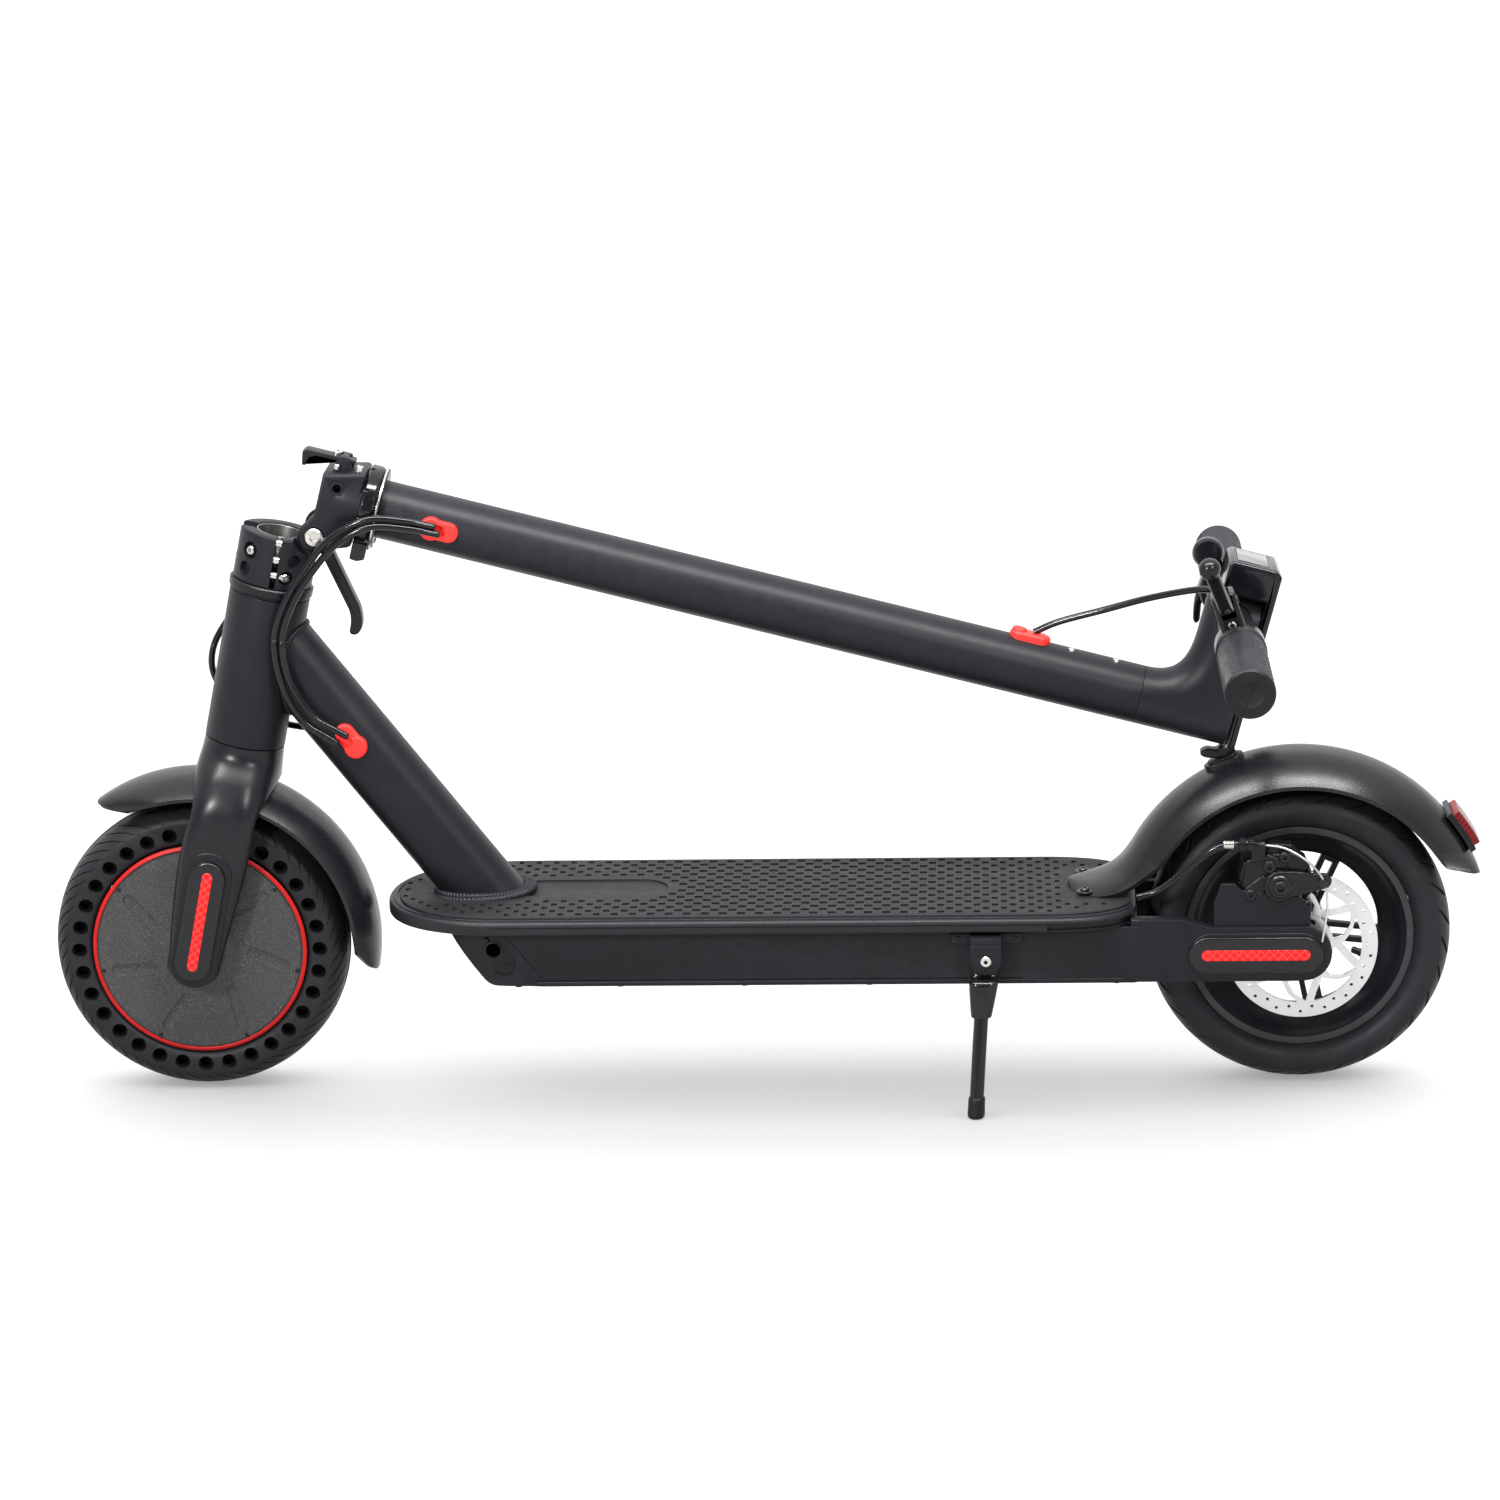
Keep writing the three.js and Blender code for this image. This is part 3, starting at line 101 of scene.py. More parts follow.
# ---------------------------------------------------------------- outlines, in millimetres
def arc(cx, cy, r, start, end, steps=12):
    """Points of an arc between two angles in degrees."""
    angles = [math.radians(start + (end - start) * i / steps) for i in range(steps + 1)]
    return [(cx + r * math.cos(a), cy + r * math.sin(a)) for a in angles]


def bezier(*controls, steps=10):
    """Points of a Bezier curve through any number of control points."""
    out = []
    for i in range(steps + 1):
        t = i / steps
        level = [Vector(c) for c in controls]
        while len(level) > 1:
            level = [a.lerp(b, t) for a, b in zip(level, level[1:])]
        out.append(tuple(level[0]))
    return out


def rounded(*corners, steps=5):
    """A closed outline from (x, y, fillet radius) corners."""
    out = []
    count = len(corners)
    for i, (x, y, r) in enumerate(corners):
        here = Vector((x, y))
        back = Vector(corners[i - 1][:2]) - here
        ahead = Vector(corners[(i + 1) % count][:2]) - here
        if r <= 0:
            out.append((x, y))
            continue
        half = back.angle(ahead) / 2
        reach = min(r / max(math.tan(half), 1e-3), back.length * 0.49, ahead.length * 0.49)
        out += bezier(here + back.normalized() * reach, here, here + ahead.normalized() * reach, steps=steps)
    return out


def stadium(cx, cy, length, width, angle=0, steps=12):
    """A pill outline whose long axis is turned by angle degrees."""
    r = width / 2
    half = length / 2 - r
    pill = arc(half, 0, r, -90, 90, steps) + arc(-half, 0, r, 90, 270, steps)
    c, s = math.cos(math.radians(angle)), math.sin(math.radians(angle))
    return [(cx + x * c - y * s, cy + x * s + y * c) for x, y in pill]


def smooth_path(points, steps):
    """A Catmull-Rom curve through the points, with so many steps between two of them."""
    pts = [Vector(p) for p in points]
    pts = [pts[0] * 2 - pts[1]] + pts + [pts[-1] * 2 - pts[-2]]
    out = []
    for i in range(1, len(pts) - 2):
        a, b, c, d = pts[i - 1:i + 3]
        for k in range(steps):
            t = k / steps
            out.append(0.5 * (2 * b + (c - a) * t + (2 * a - 5 * b + 4 * c - d) * t * t
                              + (3 * b - a - 3 * c + d) * t ** 3))
    return out + [pts[-2]]


def area(outline):
    return sum(a[0] * b[1] - b[0] * a[1] for a, b in zip(outline, outline[1:] + outline[:1])) / 2


def inset(outline, distance):
    """The outline moved inwards, with mitred corners."""
    turn = 1 if area(outline) > 0 else -1
    out = []
    count = len(outline)
    for i in range(count):
        p = Vector(outline[i])
        before = p - Vector(outline[i - 1])
        after = Vector(outline[(i + 1) % count]) - p
        if before.length < 1e-6 or after.length < 1e-6:
            before = after if before.length < 1e-6 else before
            after = before if after.length < 1e-6 else after
        before.normalize()
        after.normalize()
        normal = Vector((-before.y - after.y, before.x + after.x)) * turn
        if normal.length < 1e-6:
            normal = Vector((-before.y, before.x)) * turn
        normal.normalize()
        scale = max(normal.dot(Vector((-before.y, before.x)) * turn), 0.35)
        out.append(tuple(p + normal * (distance / scale)))
    return out


def plan(nose, tail, half, nose_round, tail_round):
    """The deck's plan: a rounded nose at one end and a blunter round tail at the other."""
    tail_x, tail_y = tail_round
    left = bezier((nose, 0), (nose, -half * 0.62), (nose + nose_round * 0.35, -half),
                  (nose + nose_round, -half),
                  steps=22)
    left += bezier((tail - tail_x, -half), (tail - tail_x * 0.35, -half), (tail, -half + tail_y * 0.45),
                   (tail, -half + tail_y), steps=12)
    right = [(x, -y) for x, y in reversed(left[1:])]
    return left + right


# ---------------------------------------------------------------- solids
PLANES = {
    "XZ": lambda u, v, h: (u, h, v),
    "XY": lambda u, v, h: (u, v, h),
    "YZ": lambda u, v, h: (h, u, v),
}


def solid(name, verts, faces, place):
    """A closed mesh from millimetre points, with its doubled points merged and its faces outwards."""
    mesh = bpy.data.meshes.new(name)
    mesh.from_pydata([place @ Vector(v) for v in verts], [], faces)
    work = bmesh.new()
    work.from_mesh(mesh)
    bmesh.ops.remove_doubles(work, verts=work.verts, dist=2e-6)
    bmesh.ops.dissolve_degenerate(work, edges=work.edges, dist=1e-6)
    bmesh.ops.recalc_face_normals(work, faces=work.faces)
    work.to_mesh(mesh)
    work.free()
    obj = bpy.data.objects.new(name, mesh)
    bpy.context.scene.collection.objects.link(obj)
    return obj


def skin(name, rings, place, closed=False):
    """A skin over rings of points; the ends are capped unless the rings close on themselves."""
    count = len(rings[0])
    verts = [p for ring in rings for p in ring]
    faces = []
    for i in range(len(rings) if closed else len(rings) - 1):
        a, b = i * count, (i + 1) % len(rings) * count
        faces += [(a + j, a + (j + 1) % count, b + (j + 1) % count, b + j) for j in range(count)]
    if not closed:
        faces.append(tuple(range(count - 1, -1, -1)))
        faces.append(tuple(range(len(verts) - count, len(verts))))
    return solid(name, verts, faces, place)


def plate(name, outline, low, high, place, edge=0.6, plane="XZ", steps=3, low_edge=None):
    """A flat outline given thickness, with its edges rounded over by edge."""
    low_edge = edge if low_edge is None else low_edge
    layers = []
    for e, level, sign in ((low_edge, low, 1), (edge, high, -1)):
        angles = [math.pi / 2 * i / steps for i in range(steps + 1)] if e > 0 else [math.pi / 2]
        side = [(e * (1 - math.sin(a)), level + sign * e * (1 - math.cos(a))) for a in angles]
        layers += side if sign > 0 else side[::-1]
    rings = []
    for shrink, height in layers:
        line = inset(outline, shrink) if shrink > 1e-6 else outline
        rings.append([PLANES[plane](u, v, height) for u, v in line])
    return skin(name, rings, place)


def lathe(name, profile, place, axis="Y", segments=96, closed=False, centre=(0, 0)):
    """A turned solid. The profile is (radius, height) pairs; open profiles end on the axis."""
    rings = []
    for i in range(segments):
        c, s = math.cos(2 * math.pi * i / segments), math.sin(2 * math.pi * i / segments)
        ring = []
        for r, h in profile:
            if axis == "Y":
                ring.append((centre[0] + r * c, h, centre[1] + r * s))
            else:
                ring.append((centre[0] + r * c, centre[1] + r * s, h))
        rings.append(ring)
    count = len(profile)
    verts = [p for ring in rings for p in ring]
    faces = []
    for i in range(segments):
        a, b = i * count, (i + 1) % segments * count
        faces += [(a + j, a + (j + 1) % count, b + (j + 1) % count, b + j)
                  for j in range(count if closed else count - 1)]
    return solid(name, verts, faces, place)


def round_bar(name, r, low, high, place, axis="Y", segments=96, centre=(0, 0)):
    """A plain cylinder from one level to another."""
    return lathe(name, [(0, low), (r, low), (r, high), (0, high)], place, axis, segments, centre=centre)


def disc(name, r, low, high, place, axis="Y", centre=(0, 0), edge=0.5, segments=48):
    """A short round solid with rounded edges."""
    turn = [(r - edge + edge * math.sin(a), edge * (1 - math.cos(a))) for a in (0, 0.5, 1.05, math.pi / 2)]
    profile = [(0, low)] + [(x, low + y) for x, y in turn]
    profile += [(x, high - y) for x, y in reversed(turn)] + [(0, high)]
    return lathe(name, profile, place, axis, segments, centre=centre)


def ring(name, inner, outer, low, high, place, axis="Y", centre=(0, 0), edge=0.4, segments=96):
    profile = rounded((inner, low, edge), (outer, low, edge), (outer, high, edge), (inner, high, edge),
                      steps=3)
    return lathe(name, profile, place, axis, segments, closed=True, centre=centre)


def loft(name, sections, place, sides=48, between=6):
    """A body through superellipse sections (x, y, z, half_x, half_y, roundness, turn)."""
    rows = smooth_path_rows(sections, between)
    rings = []
    for x, y, z, a, b, n, turn in rows:
        line = []
        for j in range(sides):
            t = 2 * math.pi * j / sides
            c, s = math.cos(t), math.sin(t)
            u = a * math.copysign(abs(c) ** (2 / n), c)
            v = b * math.copysign(abs(s) ** (2 / n), s)
            r = math.radians(turn)
            line.append((x + u * math.cos(r), y + v, z - u * math.sin(r)))
        rings.append(line)
    return skin(name, rings, place)


def smooth_path_rows(rows, steps):
    """Rows of numbers eased through their given values."""
    if steps == 1:
        return rows
    out = []
    for i in range(len(rows) - 1):
        before = rows[max(i - 1, 0)]
        after = rows[min(i + 2, len(rows) - 1)]
        for k in range(steps):
            t = k / steps
            row = []
            for a, b, c, d in zip(before, rows[i], rows[i + 1], after):
                row.append(0.5 * (2 * b + (c - a) * t + (2 * a - 5 * b + 4 * c - d) * t * t
                                  + (3 * b - a - 3 * c + d) * t ** 3))
            out.append(tuple(row))
    return out + [rows[-1]]


def tube(name, points, radius, place, sides=14, steps=8):
    """A round cord along a smooth curve."""
    path = smooth_path(points, steps)
    tangents = [(path[min(i + 1, len(path) - 1)] - path[max(i - 1, 0)]).normalized()
                for i in range(len(path))]
    side = tangents[0].orthogonal().normalized()
    rings = []
    for p, t in zip(path, tangents):
        side = (side - t * side.dot(t)).normalized()
        other = t.cross(side)
        angles = [2 * math.pi * j / sides for j in range(sides)]
        rings.append([p + side * radius * math.cos(a) + other * radius * math.sin(a) for a in angles])
    return skin(name, rings, place)


def block(name, x0, x1, y0, y1, z0, z1, place, edge=0.5, steps=2):
    outline = rounded((x0, z0, edge), (x1, z0, edge), (x1, z1, edge), (x0, z1, edge), steps=steps)
    return plate(name, outline, y0, y1, place, edge, steps=steps)


def drop(obj):
    mesh = obj.data
    bpy.data.objects.remove(obj)
    bpy.data.meshes.remove(mesh)


def settle(obj):
    """Applies the modifiers, so that the object's mesh is its final one."""
    bpy.context.view_layer.update()
    graph = bpy.context.evaluated_depsgraph_get()
    mesh = bpy.data.meshes.new_from_object(obj.evaluated_get(graph))
    obj.modifiers.clear()
    obj.data = mesh
    return obj


def join(name, parts):
    """One object that holds several solids."""
    work = bmesh.new()
    for part in parts:
        work.from_mesh(part.data)
        drop(part)
    mesh = bpy.data.meshes.new(name)
    work.to_mesh(mesh)
    work.free()
    obj = bpy.data.objects.new(name, mesh)
    bpy.context.scene.collection.objects.link(obj)
    return obj


def boolean(obj, tool, operation):
    modifier = obj.modifiers.new(operation, "BOOLEAN")
    modifier.operation = operation
    modifier.solver = "MANIFOLD"
    modifier.object = tool
    settle(obj)
    drop(tool)
    return obj


def cut(obj, *tools):
    for tool in tools:
        boolean(obj, tool, "DIFFERENCE")
    return obj


def fuse(obj, *tools):
    for tool in tools:
        boolean(obj, tool, "UNION")
    return obj


def piece(obj, body, slot, material, *nodes, smooth=38):
    """Finishes a piece: its shading, material and body, and hides the CAD nodes that it stands for. The slot
    is not used.
    """
    for polygon in obj.data.polygons:
        polygon.use_smooth = True
    obj.data.set_sharp_from_angle(angle=math.radians(smooth))
    obj.data.materials.clear()
    obj.data.materials.append(material)
    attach(obj, body)
    if nodes:
        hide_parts(*nodes)
    return obj


def screw(x, y, z, r, height, side, place, socket=0.5):
    """A domed screw head on a face that looks along -Y or +Y, with a hexagonal socket."""
    dome = [(0, 0), (r, 0), (r, height * 0.45), (r * 0.86, height * 0.85), (r * 0.6, height), (0, height)]
    head = lathe("screw", [(a, y + side * b) for a, b in dome], place, centre=(x, z), segments=28)
    hexagon = [(x + r * socket * math.cos(math.pi * k / 3), z + r * socket * math.sin(math.pi * k / 3))
               for k in range(6)]
    span = sorted((y + side * height * 0.35, y + side * (height + 1)))
    return cut(head, plate("socket", hexagon, *span, place, edge=0))


# ---------------------------------------------------------------- materials
class Graph:
    """Short names for a material's node graph."""

    def __init__(self, name):
        self.material = bpy.data.materials.new(name)
        self.material.use_nodes = True
        self.tree = self.material.node_tree
        self.shader = self.tree.nodes["Principled BSDF"]
        self.where = self.add("ShaderNodeTexCoord").outputs["Object"]

    def add(self, kind, **settings):
        node = self.tree.nodes.new(kind)
        for key, value in settings.items():
            setattr(node, key, value)
        return node

    def link(self, a, b):
        self.tree.links.new(a, b)

    def noise(self, scale, detail=4, roughness=0.55, where=None):
        node = self.add("ShaderNodeTexNoise")
        node.inputs["Scale"].default_value = scale
        node.inputs["Detail"].default_value = detail
        node.inputs["Roughness"].default_value = roughness
        self.link(where or self.where, node.inputs["Vector"])
        return node.outputs["Fac"]

    def span(self, value, low, high, from_low=0.3, from_high=0.7):
        node = self.add("ShaderNodeMapRange")
        for key, number in (("From Min", from_low), ("From Max", from_high), ("To Min", low),
                            ("To Max", high)):
            node.inputs[key].default_value = number
        self.link(value, node.inputs["Value"])
        return node.outputs["Result"]

    def math(self, operation, a, b=0.0):
        node = self.add("ShaderNodeMath", operation=operation)
        for socket, value in zip(node.inputs, (a, b)):
            if isinstance(value, (int, float)):
                socket.default_value = value
            else:
                self.link(value, socket)
        return node.outputs["Value"]

    def mix(self, factor, a, b):
        node = self.add("ShaderNodeMix", data_type="RGBA")
        self.link(factor, node.inputs["Factor"])
        for key, value in (("A", a), ("B", b)):
            socket = [s for s in node.inputs if s.name == key and s.type == "RGBA"][0]
            if isinstance(value, tuple):
                socket.default_value = (*value, 1)
            else:
                self.link(value, socket)
        return [s for s in node.outputs if s.type == "RGBA"][0]

    def bump(self, height, distance, strength=1.0, after=None):
        node = self.add("ShaderNodeBump")
        node.inputs["Distance"].default_value = distance
        node.inputs["Strength"].default_value = strength
        self.link(height, node.inputs["Height"])
        if after:
            self.link(after, node.inputs["Normal"])
        return node.outputs["Normal"]

    def set(self, **values):
        for key, value in values.items():
            self.shader.inputs[key.replace("_", " ")].default_value = value

    def edge_wear_and_highlight(self, low=0.53, high=0.62):
        """How much a convex edge is lightened: partly rubbed wear, partly a painted highlight along the edge.
        """
        pointed = self.add("ShaderNodeNewGeometry").outputs["Pointiness"]
        return self.math("MULTIPLY", self.span(pointed, 0, 1, low, high), self.span(self.noise(160), 0.25, 1))


def painted(name, colour, roughness, grain=1500, depth=0.00003, metallic=0.0, mottle=0.14, rub_and_highlight=0.5, coat=0.0,
            specular=0.5, worn_and_highlit=None):
    """Paint or moulded plastic: a grained surface, uneven gloss and colour, and lightened convex edges,
    partly rubbed wear and partly a painted edge highlight.
    """
    g = Graph(name)
    dark = tuple(c * (1 - mottle) for c in colour)
    light = tuple(min(1, c * (1 + mottle)) for c in colour)
    worn_and_highlit = worn_and_highlit or tuple(min(1, c * 2.2 + 0.012) for c in colour)
    base = g.mix(g.span(g.noise(38), 0, 1), dark, light)
    # Convex edges mixed towards the lighter colour: rubbed wear and also a painted highlight along the edges.
    base = g.mix(g.math("MULTIPLY", g.edge_wear_and_highlight(), rub_and_highlight), base, worn_and_highlit)
    g.link(base, g.shader.inputs["Base Color"])
    gloss = g.math("ADD", g.span(g.noise(55, 5), roughness - 0.025, roughness + 0.025),
                   g.span(g.noise(900, 2), -0.02, 0.02))
    g.link(gloss, g.shader.inputs["Roughness"])
    fine = g.bump(g.noise(grain, 3), depth)
    g.link(g.bump(g.noise(70, 2), depth * 1.5, 0.6, fine), g.shader.inputs["Normal"])
    g.set(Metallic=metallic, Coat_Weight=coat, Coat_Roughness=0.12, Specular_IOR_Level=specular)
    return g.material


def speckled(name, colour, specks, roughness):
    """Textured paint with fine pale flakes."""
    g = Graph(name)
    flakes = g.span(g.noise(1300, 2, 0.7), 0, 1, 0.56, 0.68)
    base = g.mix(g.span(g.noise(30), 0, 1), tuple(c * 0.85 for c in colour), tuple(c * 1.15 for c in colour))
    g.link(g.mix(flakes, base, specks), g.shader.inputs["Base Color"])
    g.link(g.span(g.noise(600), roughness - 0.08, roughness + 0.08), g.shader.inputs["Roughness"])
    g.link(g.bump(g.noise(1100, 3), 0.00012, 0.8), g.shader.inputs["Normal"])
    g.set(Metallic=0.25)
    return g.material


def ground(name, colour, roughness, centre, rings=2600):
    """Bare metal with fine circular grinding lines about a centre."""
    g = Graph(name)
    shift = g.add("ShaderNodeVectorMath", operation="SUBTRACT")
    g.link(g.where, shift.inputs[0])
    shift.inputs[1].default_value = centre
    flat = g.add("ShaderNodeVectorMath", operation="MULTIPLY")
    flat.inputs[1].default_value = (1, 0, 1)
    g.link(shift.outputs["Vector"], flat.inputs[0])
    length = g.add("ShaderNodeVectorMath", operation="LENGTH")
    g.link(flat.outputs["Vector"], length.inputs[0])
    lines = g.add("ShaderNodeCombineXYZ")
    g.link(length.outputs["Value"], lines.inputs["X"])
    grind = g.noise(rings, 2, 0.6, lines.outputs["Vector"])
    base = g.mix(g.span(grind, 0, 1), tuple(c * 0.82 for c in colour), colour)
    g.link(g.mix(g.span(g.noise(60), 0, 0.35), base, tuple(c * 0.7 for c in colour)),
           g.shader.inputs["Base Color"])
    g.link(g.span(grind, roughness - 0.08, roughness + 0.1), g.shader.inputs["Roughness"])
    g.link(g.bump(grind, 0.00002), g.shader.inputs["Normal"])
    g.set(Metallic=1.0)
    return g.material


def rubber(name, colour, roughness, dust, depth=0.00008, grain=700):
    """Rubber with a dusty, slightly uneven face and a soft sheen."""
    g = Graph(name)
    dusty = g.math("MULTIPLY", g.span(g.noise(45, 6, 0.65), 0, 1, 0.42, 0.72),
                   g.span(g.noise(400, 3), 0.3, 1))
    g.link(g.mix(dusty, colour, dust), g.shader.inputs["Base Color"])
    g.link(g.span(g.noise(90, 5), roughness - 0.07, roughness + 0.09), g.shader.inputs["Roughness"])
    g.link(g.bump(g.noise(grain, 4), depth, 0.7), g.shader.inputs["Normal"])
    g.set(Sheen_Weight=0.01, Sheen_Roughness=0.5, Specular_IOR_Level=0.2)
    return g.material


def prismatic(name, deep, bright, cell, turn=0.0):
    """A retroreflective strip: small crossed prisms under a clear red face."""
    g = Graph(name)
    turned = g.add("ShaderNodeMapping")
    turned.inputs["Rotation"].default_value = (0, turn, 0)
    g.link(g.where, turned.inputs["Vector"])
    waves = []
    for angle in (math.radians(45), math.radians(-45)):
        direction = g.add("ShaderNodeVectorMath", operation="DOT_PRODUCT")
        direction.inputs[1].default_value = (math.cos(angle), 0, math.sin(angle))
        g.link(turned.outputs["Vector"], direction.inputs[0])
        waves.append(g.math("PINGPONG", direction.outputs["Value"], cell))
    line = g.math("MINIMUM", *waves)
    lattice = g.span(line, 1, 0, 0, cell * 0.3)
    g.link(g.mix(lattice, deep, bright), g.shader.inputs["Base Color"])
    g.link(g.bump(line, 0.4, 0.5), g.shader.inputs["Normal"])
    g.link(g.span(g.noise(300), 0.18, 0.3), g.shader.inputs["Roughness"])
    g.set(Coat_Weight=0.06, Coat_Roughness=0.08, Specular_IOR_Level=0.15)
    return g.material


PAINT = painted("satin_black_paint", (0.0062, 0.0062, 0.0084), 0.4, depth=0.00006, specular=0.2)
FORK_PAINT = painted("fork_paint", (0.0055, 0.0055, 0.0072), 0.29, depth=0.00002, specular=0.28)
RAIL_PAINT = painted("rail_paint", (0.0082, 0.0081, 0.0102), 0.42, grain=900, depth=0.0001, specular=0.26)
FENDER = painted("fender_plastic", (0.0052, 0.0052, 0.0066), 0.28, depth=0.00002, specular=0.3)
PLASTIC = painted("satin_plastic", (0.0048, 0.0048, 0.0064), 0.33, depth=0.00002, specular=0.24)
GLOSS = painted("gloss_plastic", (0.0032, 0.0032, 0.0046), 0.14, depth=0.000006, coat=0.2, rub_and_highlight=0.2,
                specular=0.28)
GLOSS_COVER = painted("gloss_cover", (0.0046, 0.0046, 0.006), 0.22, depth=0.00001, coat=0.15, rub_and_highlight=0.3,
                      specular=0.28)
GLASS = painted("dark_glass", (0.0025, 0.0025, 0.004), 0.06, depth=0.000002, coat=0.2, rub_and_highlight=0.0, specular=0.3)
ALLOY = painted("black_alloy", (0.0075, 0.0075, 0.009), 0.25, depth=0.00002, metallic=0.35, rub_and_highlight=0.7,
                specular=0.36)
GRIP = rubber("grip_rubber", (0.0042, 0.0042, 0.0058), 0.46, (0.009, 0.009, 0.0105))
# The raised dots get a lighter copy of the grip rubber: a painted highlight for the light they catch.
GRIP_DOTS_HIGHLIT = rubber("grip_dots", (0.026, 0.027, 0.032), 0.34, (0.045, 0.045, 0.047), depth=0.00003)
MAT = rubber("mat_rubber", (0.0078, 0.0078, 0.0094), 0.58, (0.0125, 0.0125, 0.0135), depth=0.00012)
TYRE = rubber("tyre_rubber", (0.0085, 0.0085, 0.0105), 0.48, (0.0145, 0.0145, 0.0158))
SIDEWALL = rubber("sidewall_rubber", (0.0095, 0.0096, 0.0122), 0.48, (0.0155, 0.0155, 0.017))
CABLE = painted("cable_sheath", (0.003, 0.003, 0.0042), 0.15, grain=500, depth=0.000006, rub_and_highlight=0.0,
                specular=0.36)
HUB = speckled("hub_paint", (0.027, 0.0262, 0.0272), (0.11, 0.108, 0.108), 0.48)
LIP = painted("rim_lip", (0.028, 0.027, 0.029), 0.42, depth=0.00005, metallic=0.2, specular=0.3)
RED = painted("red_rubber", (0.74, 0.020, 0.016), 0.4, specular=0.3, depth=0.00003, rub_and_highlight=0.1, mottle=0.07)
RED_PAINT = painted("red_ring_paint", (0.34, 0.006, 0.005), 0.4, specular=0.2, depth=0.00003, rub_and_highlight=0.1,
                    mottle=0.08)
REFLECTOR = prismatic("red_reflector", (0.72, 0.010, 0.010), (0.9, 0.05, 0.042), 0.0022)
REFLECTOR_FORK = prismatic("red_reflector_fork", (0.72, 0.010, 0.010), (0.9, 0.05, 0.042), 0.0022,
                           math.radians(-12))
LENS = prismatic("red_lens", (0.075, 0.004, 0.006), (0.16, 0.010, 0.012), 0.0016)
STEEL = ground("turned_steel", (0.62, 0.61, 0.58), 0.26, (0, 0, 0), 900)
DISC_STEEL = ground("disc_steel", (0.78, 0.78, 0.77), 0.36, tuple(REAR_AXLE))
ZINC = painted("zinc_screw", (0.60, 0.58, 0.54), 0.24, metallic=1.0, worn_and_highlit=(0.8, 0.78, 0.74), mottle=0.06)
BORE_STEEL = painted("clamp_bore", (0.34, 0.335, 0.32), 0.32, metallic=1.0, worn_and_highlit=(0.5, 0.5, 0.48))
LAMP = painted("headlight_lens", (0.05, 0.05, 0.055), 0.08, depth=0.000004, coat=1.0, rub_and_highlight=0.0)
CASTING = painted("brake_casting", (0.0055, 0.0055, 0.0066), 0.3, grain=900, depth=0.00009, metallic=0.3,
                  rub_and_highlight=0.8,
                  specular=0.32)
WIRE = painted("steel_wire", (0.55, 0.54, 0.52), 0.3, metallic=1.0, worn_and_highlit=(0.7, 0.7, 0.68))
COPPER = painted("copper_winding", (0.45, 0.2, 0.08), 0.4, metallic=0.9, worn_and_highlit=(0.6, 0.3, 0.14))
WRAP = painted("cell_wrap", (0.03, 0.08, 0.32), 0.4, worn_and_highlit=(0.06, 0.12, 0.4))


# ---------------------------------------------------------------- wheels
def spun(x, z, r, degrees):
    """The point at radius r and an angle from +X towards +Z about (x, z)."""
    a = math.radians(degrees)
    return x + r * math.cos(a), z + r * math.sin(a)


def groove(shoulder, start, sweep, width, depth, place):
    """A cutter for one tread groove: a thin strip laid along a tyre's (radius, y) profile."""
    rows = []
    count = len(shoulder)
    for i, (r, y) in enumerate(shoulder):
        angle = math.radians(start + sweep * i / (count - 1))
        before, after = shoulder[max(i - 1, 0)], shoulder[min(i + 1, count - 1)]
        along = Vector((after[0] - before[0], after[1] - before[1])).normalized()
        out = Vector((-along.y, along.x))
        if out.x < 0:
            out = -out
        slim = width / 2 * (0.35 + 0.65 * math.sin(math.pi * (i + 0.6) / (count + 0.2)))
        row = []
        for lift, aside in ((-depth, -slim), (-depth, slim), (2, slim * 1.6), (2, -slim * 1.6)):
            radius, height = r + out.x * lift, y + out.y * lift
            row.append((radius * math.cos(angle) - aside * math.sin(angle), height,
                        radius * math.sin(angle) + aside * math.cos(angle)))
        rows.append(row)
    return skin("groove", rows, place)


def tyre_profile(half, inner, bead, steps=3):
    """A tyre's closed (radius, y) profile from its outer half, listed from the bead to the crown."""
    curve = [tuple(p)[:2] for p in smooth_path([(r, y, 0) for r, y in half], steps)]
    other = [(r, -y) for r, y in reversed(curve[:-1])]
    return curve + other + [(inner, -bead), (inner, bead)]


TYRE_HOLES = 32
FRONT_GROOVES = 56
REAR_GROOVES = 30
HUB_PILLS = 7
SPOKE_PAIRS = 5
DISC_HOLES = 36


def front_wheel():
    half = [(78.8, 17.5), (80.5, 22), (84, 24.2), (92, 25), (97.5, 24.4), (101.5, 21.5), (105, 16.5),
            (107.2, 9.5),
            (108, 0)]
    tyre = lathe("front_tyre", tyre_profile(half, 78.8, 14), FRONT, segments=192, closed=True)
    holes = []
    for side in (-1, 1):
        for k in range(TYRE_HOLES):
            x, z = spun(0, 0, 88.4, 360 / TYRE_HOLES * (k + 0.5 * (side > 0)))
            span = sorted((side * 8.5, side * 30))
            holes.append(round_bar("hole", 5.6, span[0], span[1], FRONT,
                               segments=24, centre=(x, z)))
    cut(tyre, join("holes", holes))
    shoulder = [(96.6, 24.6), (98.6, 23.9), (101.5, 21.5), (103.5, 19.1), (105, 16.5), (106.4, 12.6),
                (107.3, 8.8)]
    for side in (-1, 1):
        line = [(r, y * side) for r, y in shoulder]
        cut(tyre, join("grooves", [groove(line, 360 / FRONT_GROOVES * (k + 0.25 * side), 15, 1.7, 1.1, FRONT)
                                   for k in range(FRONT_GROOVES)]))
    piece(tyre, "front_wheel", "tyre", TYRE, "front_tyre")
    centre = ring("front_tread_line", 107.4, 108.3, -1.6, 1.6, FRONT, segments=192)
    piece(centre, "front_wheel", "tyre", TYRE)
    for side, name in ((-1, "left"), (1, "right")):
        hub_cover(side, name)


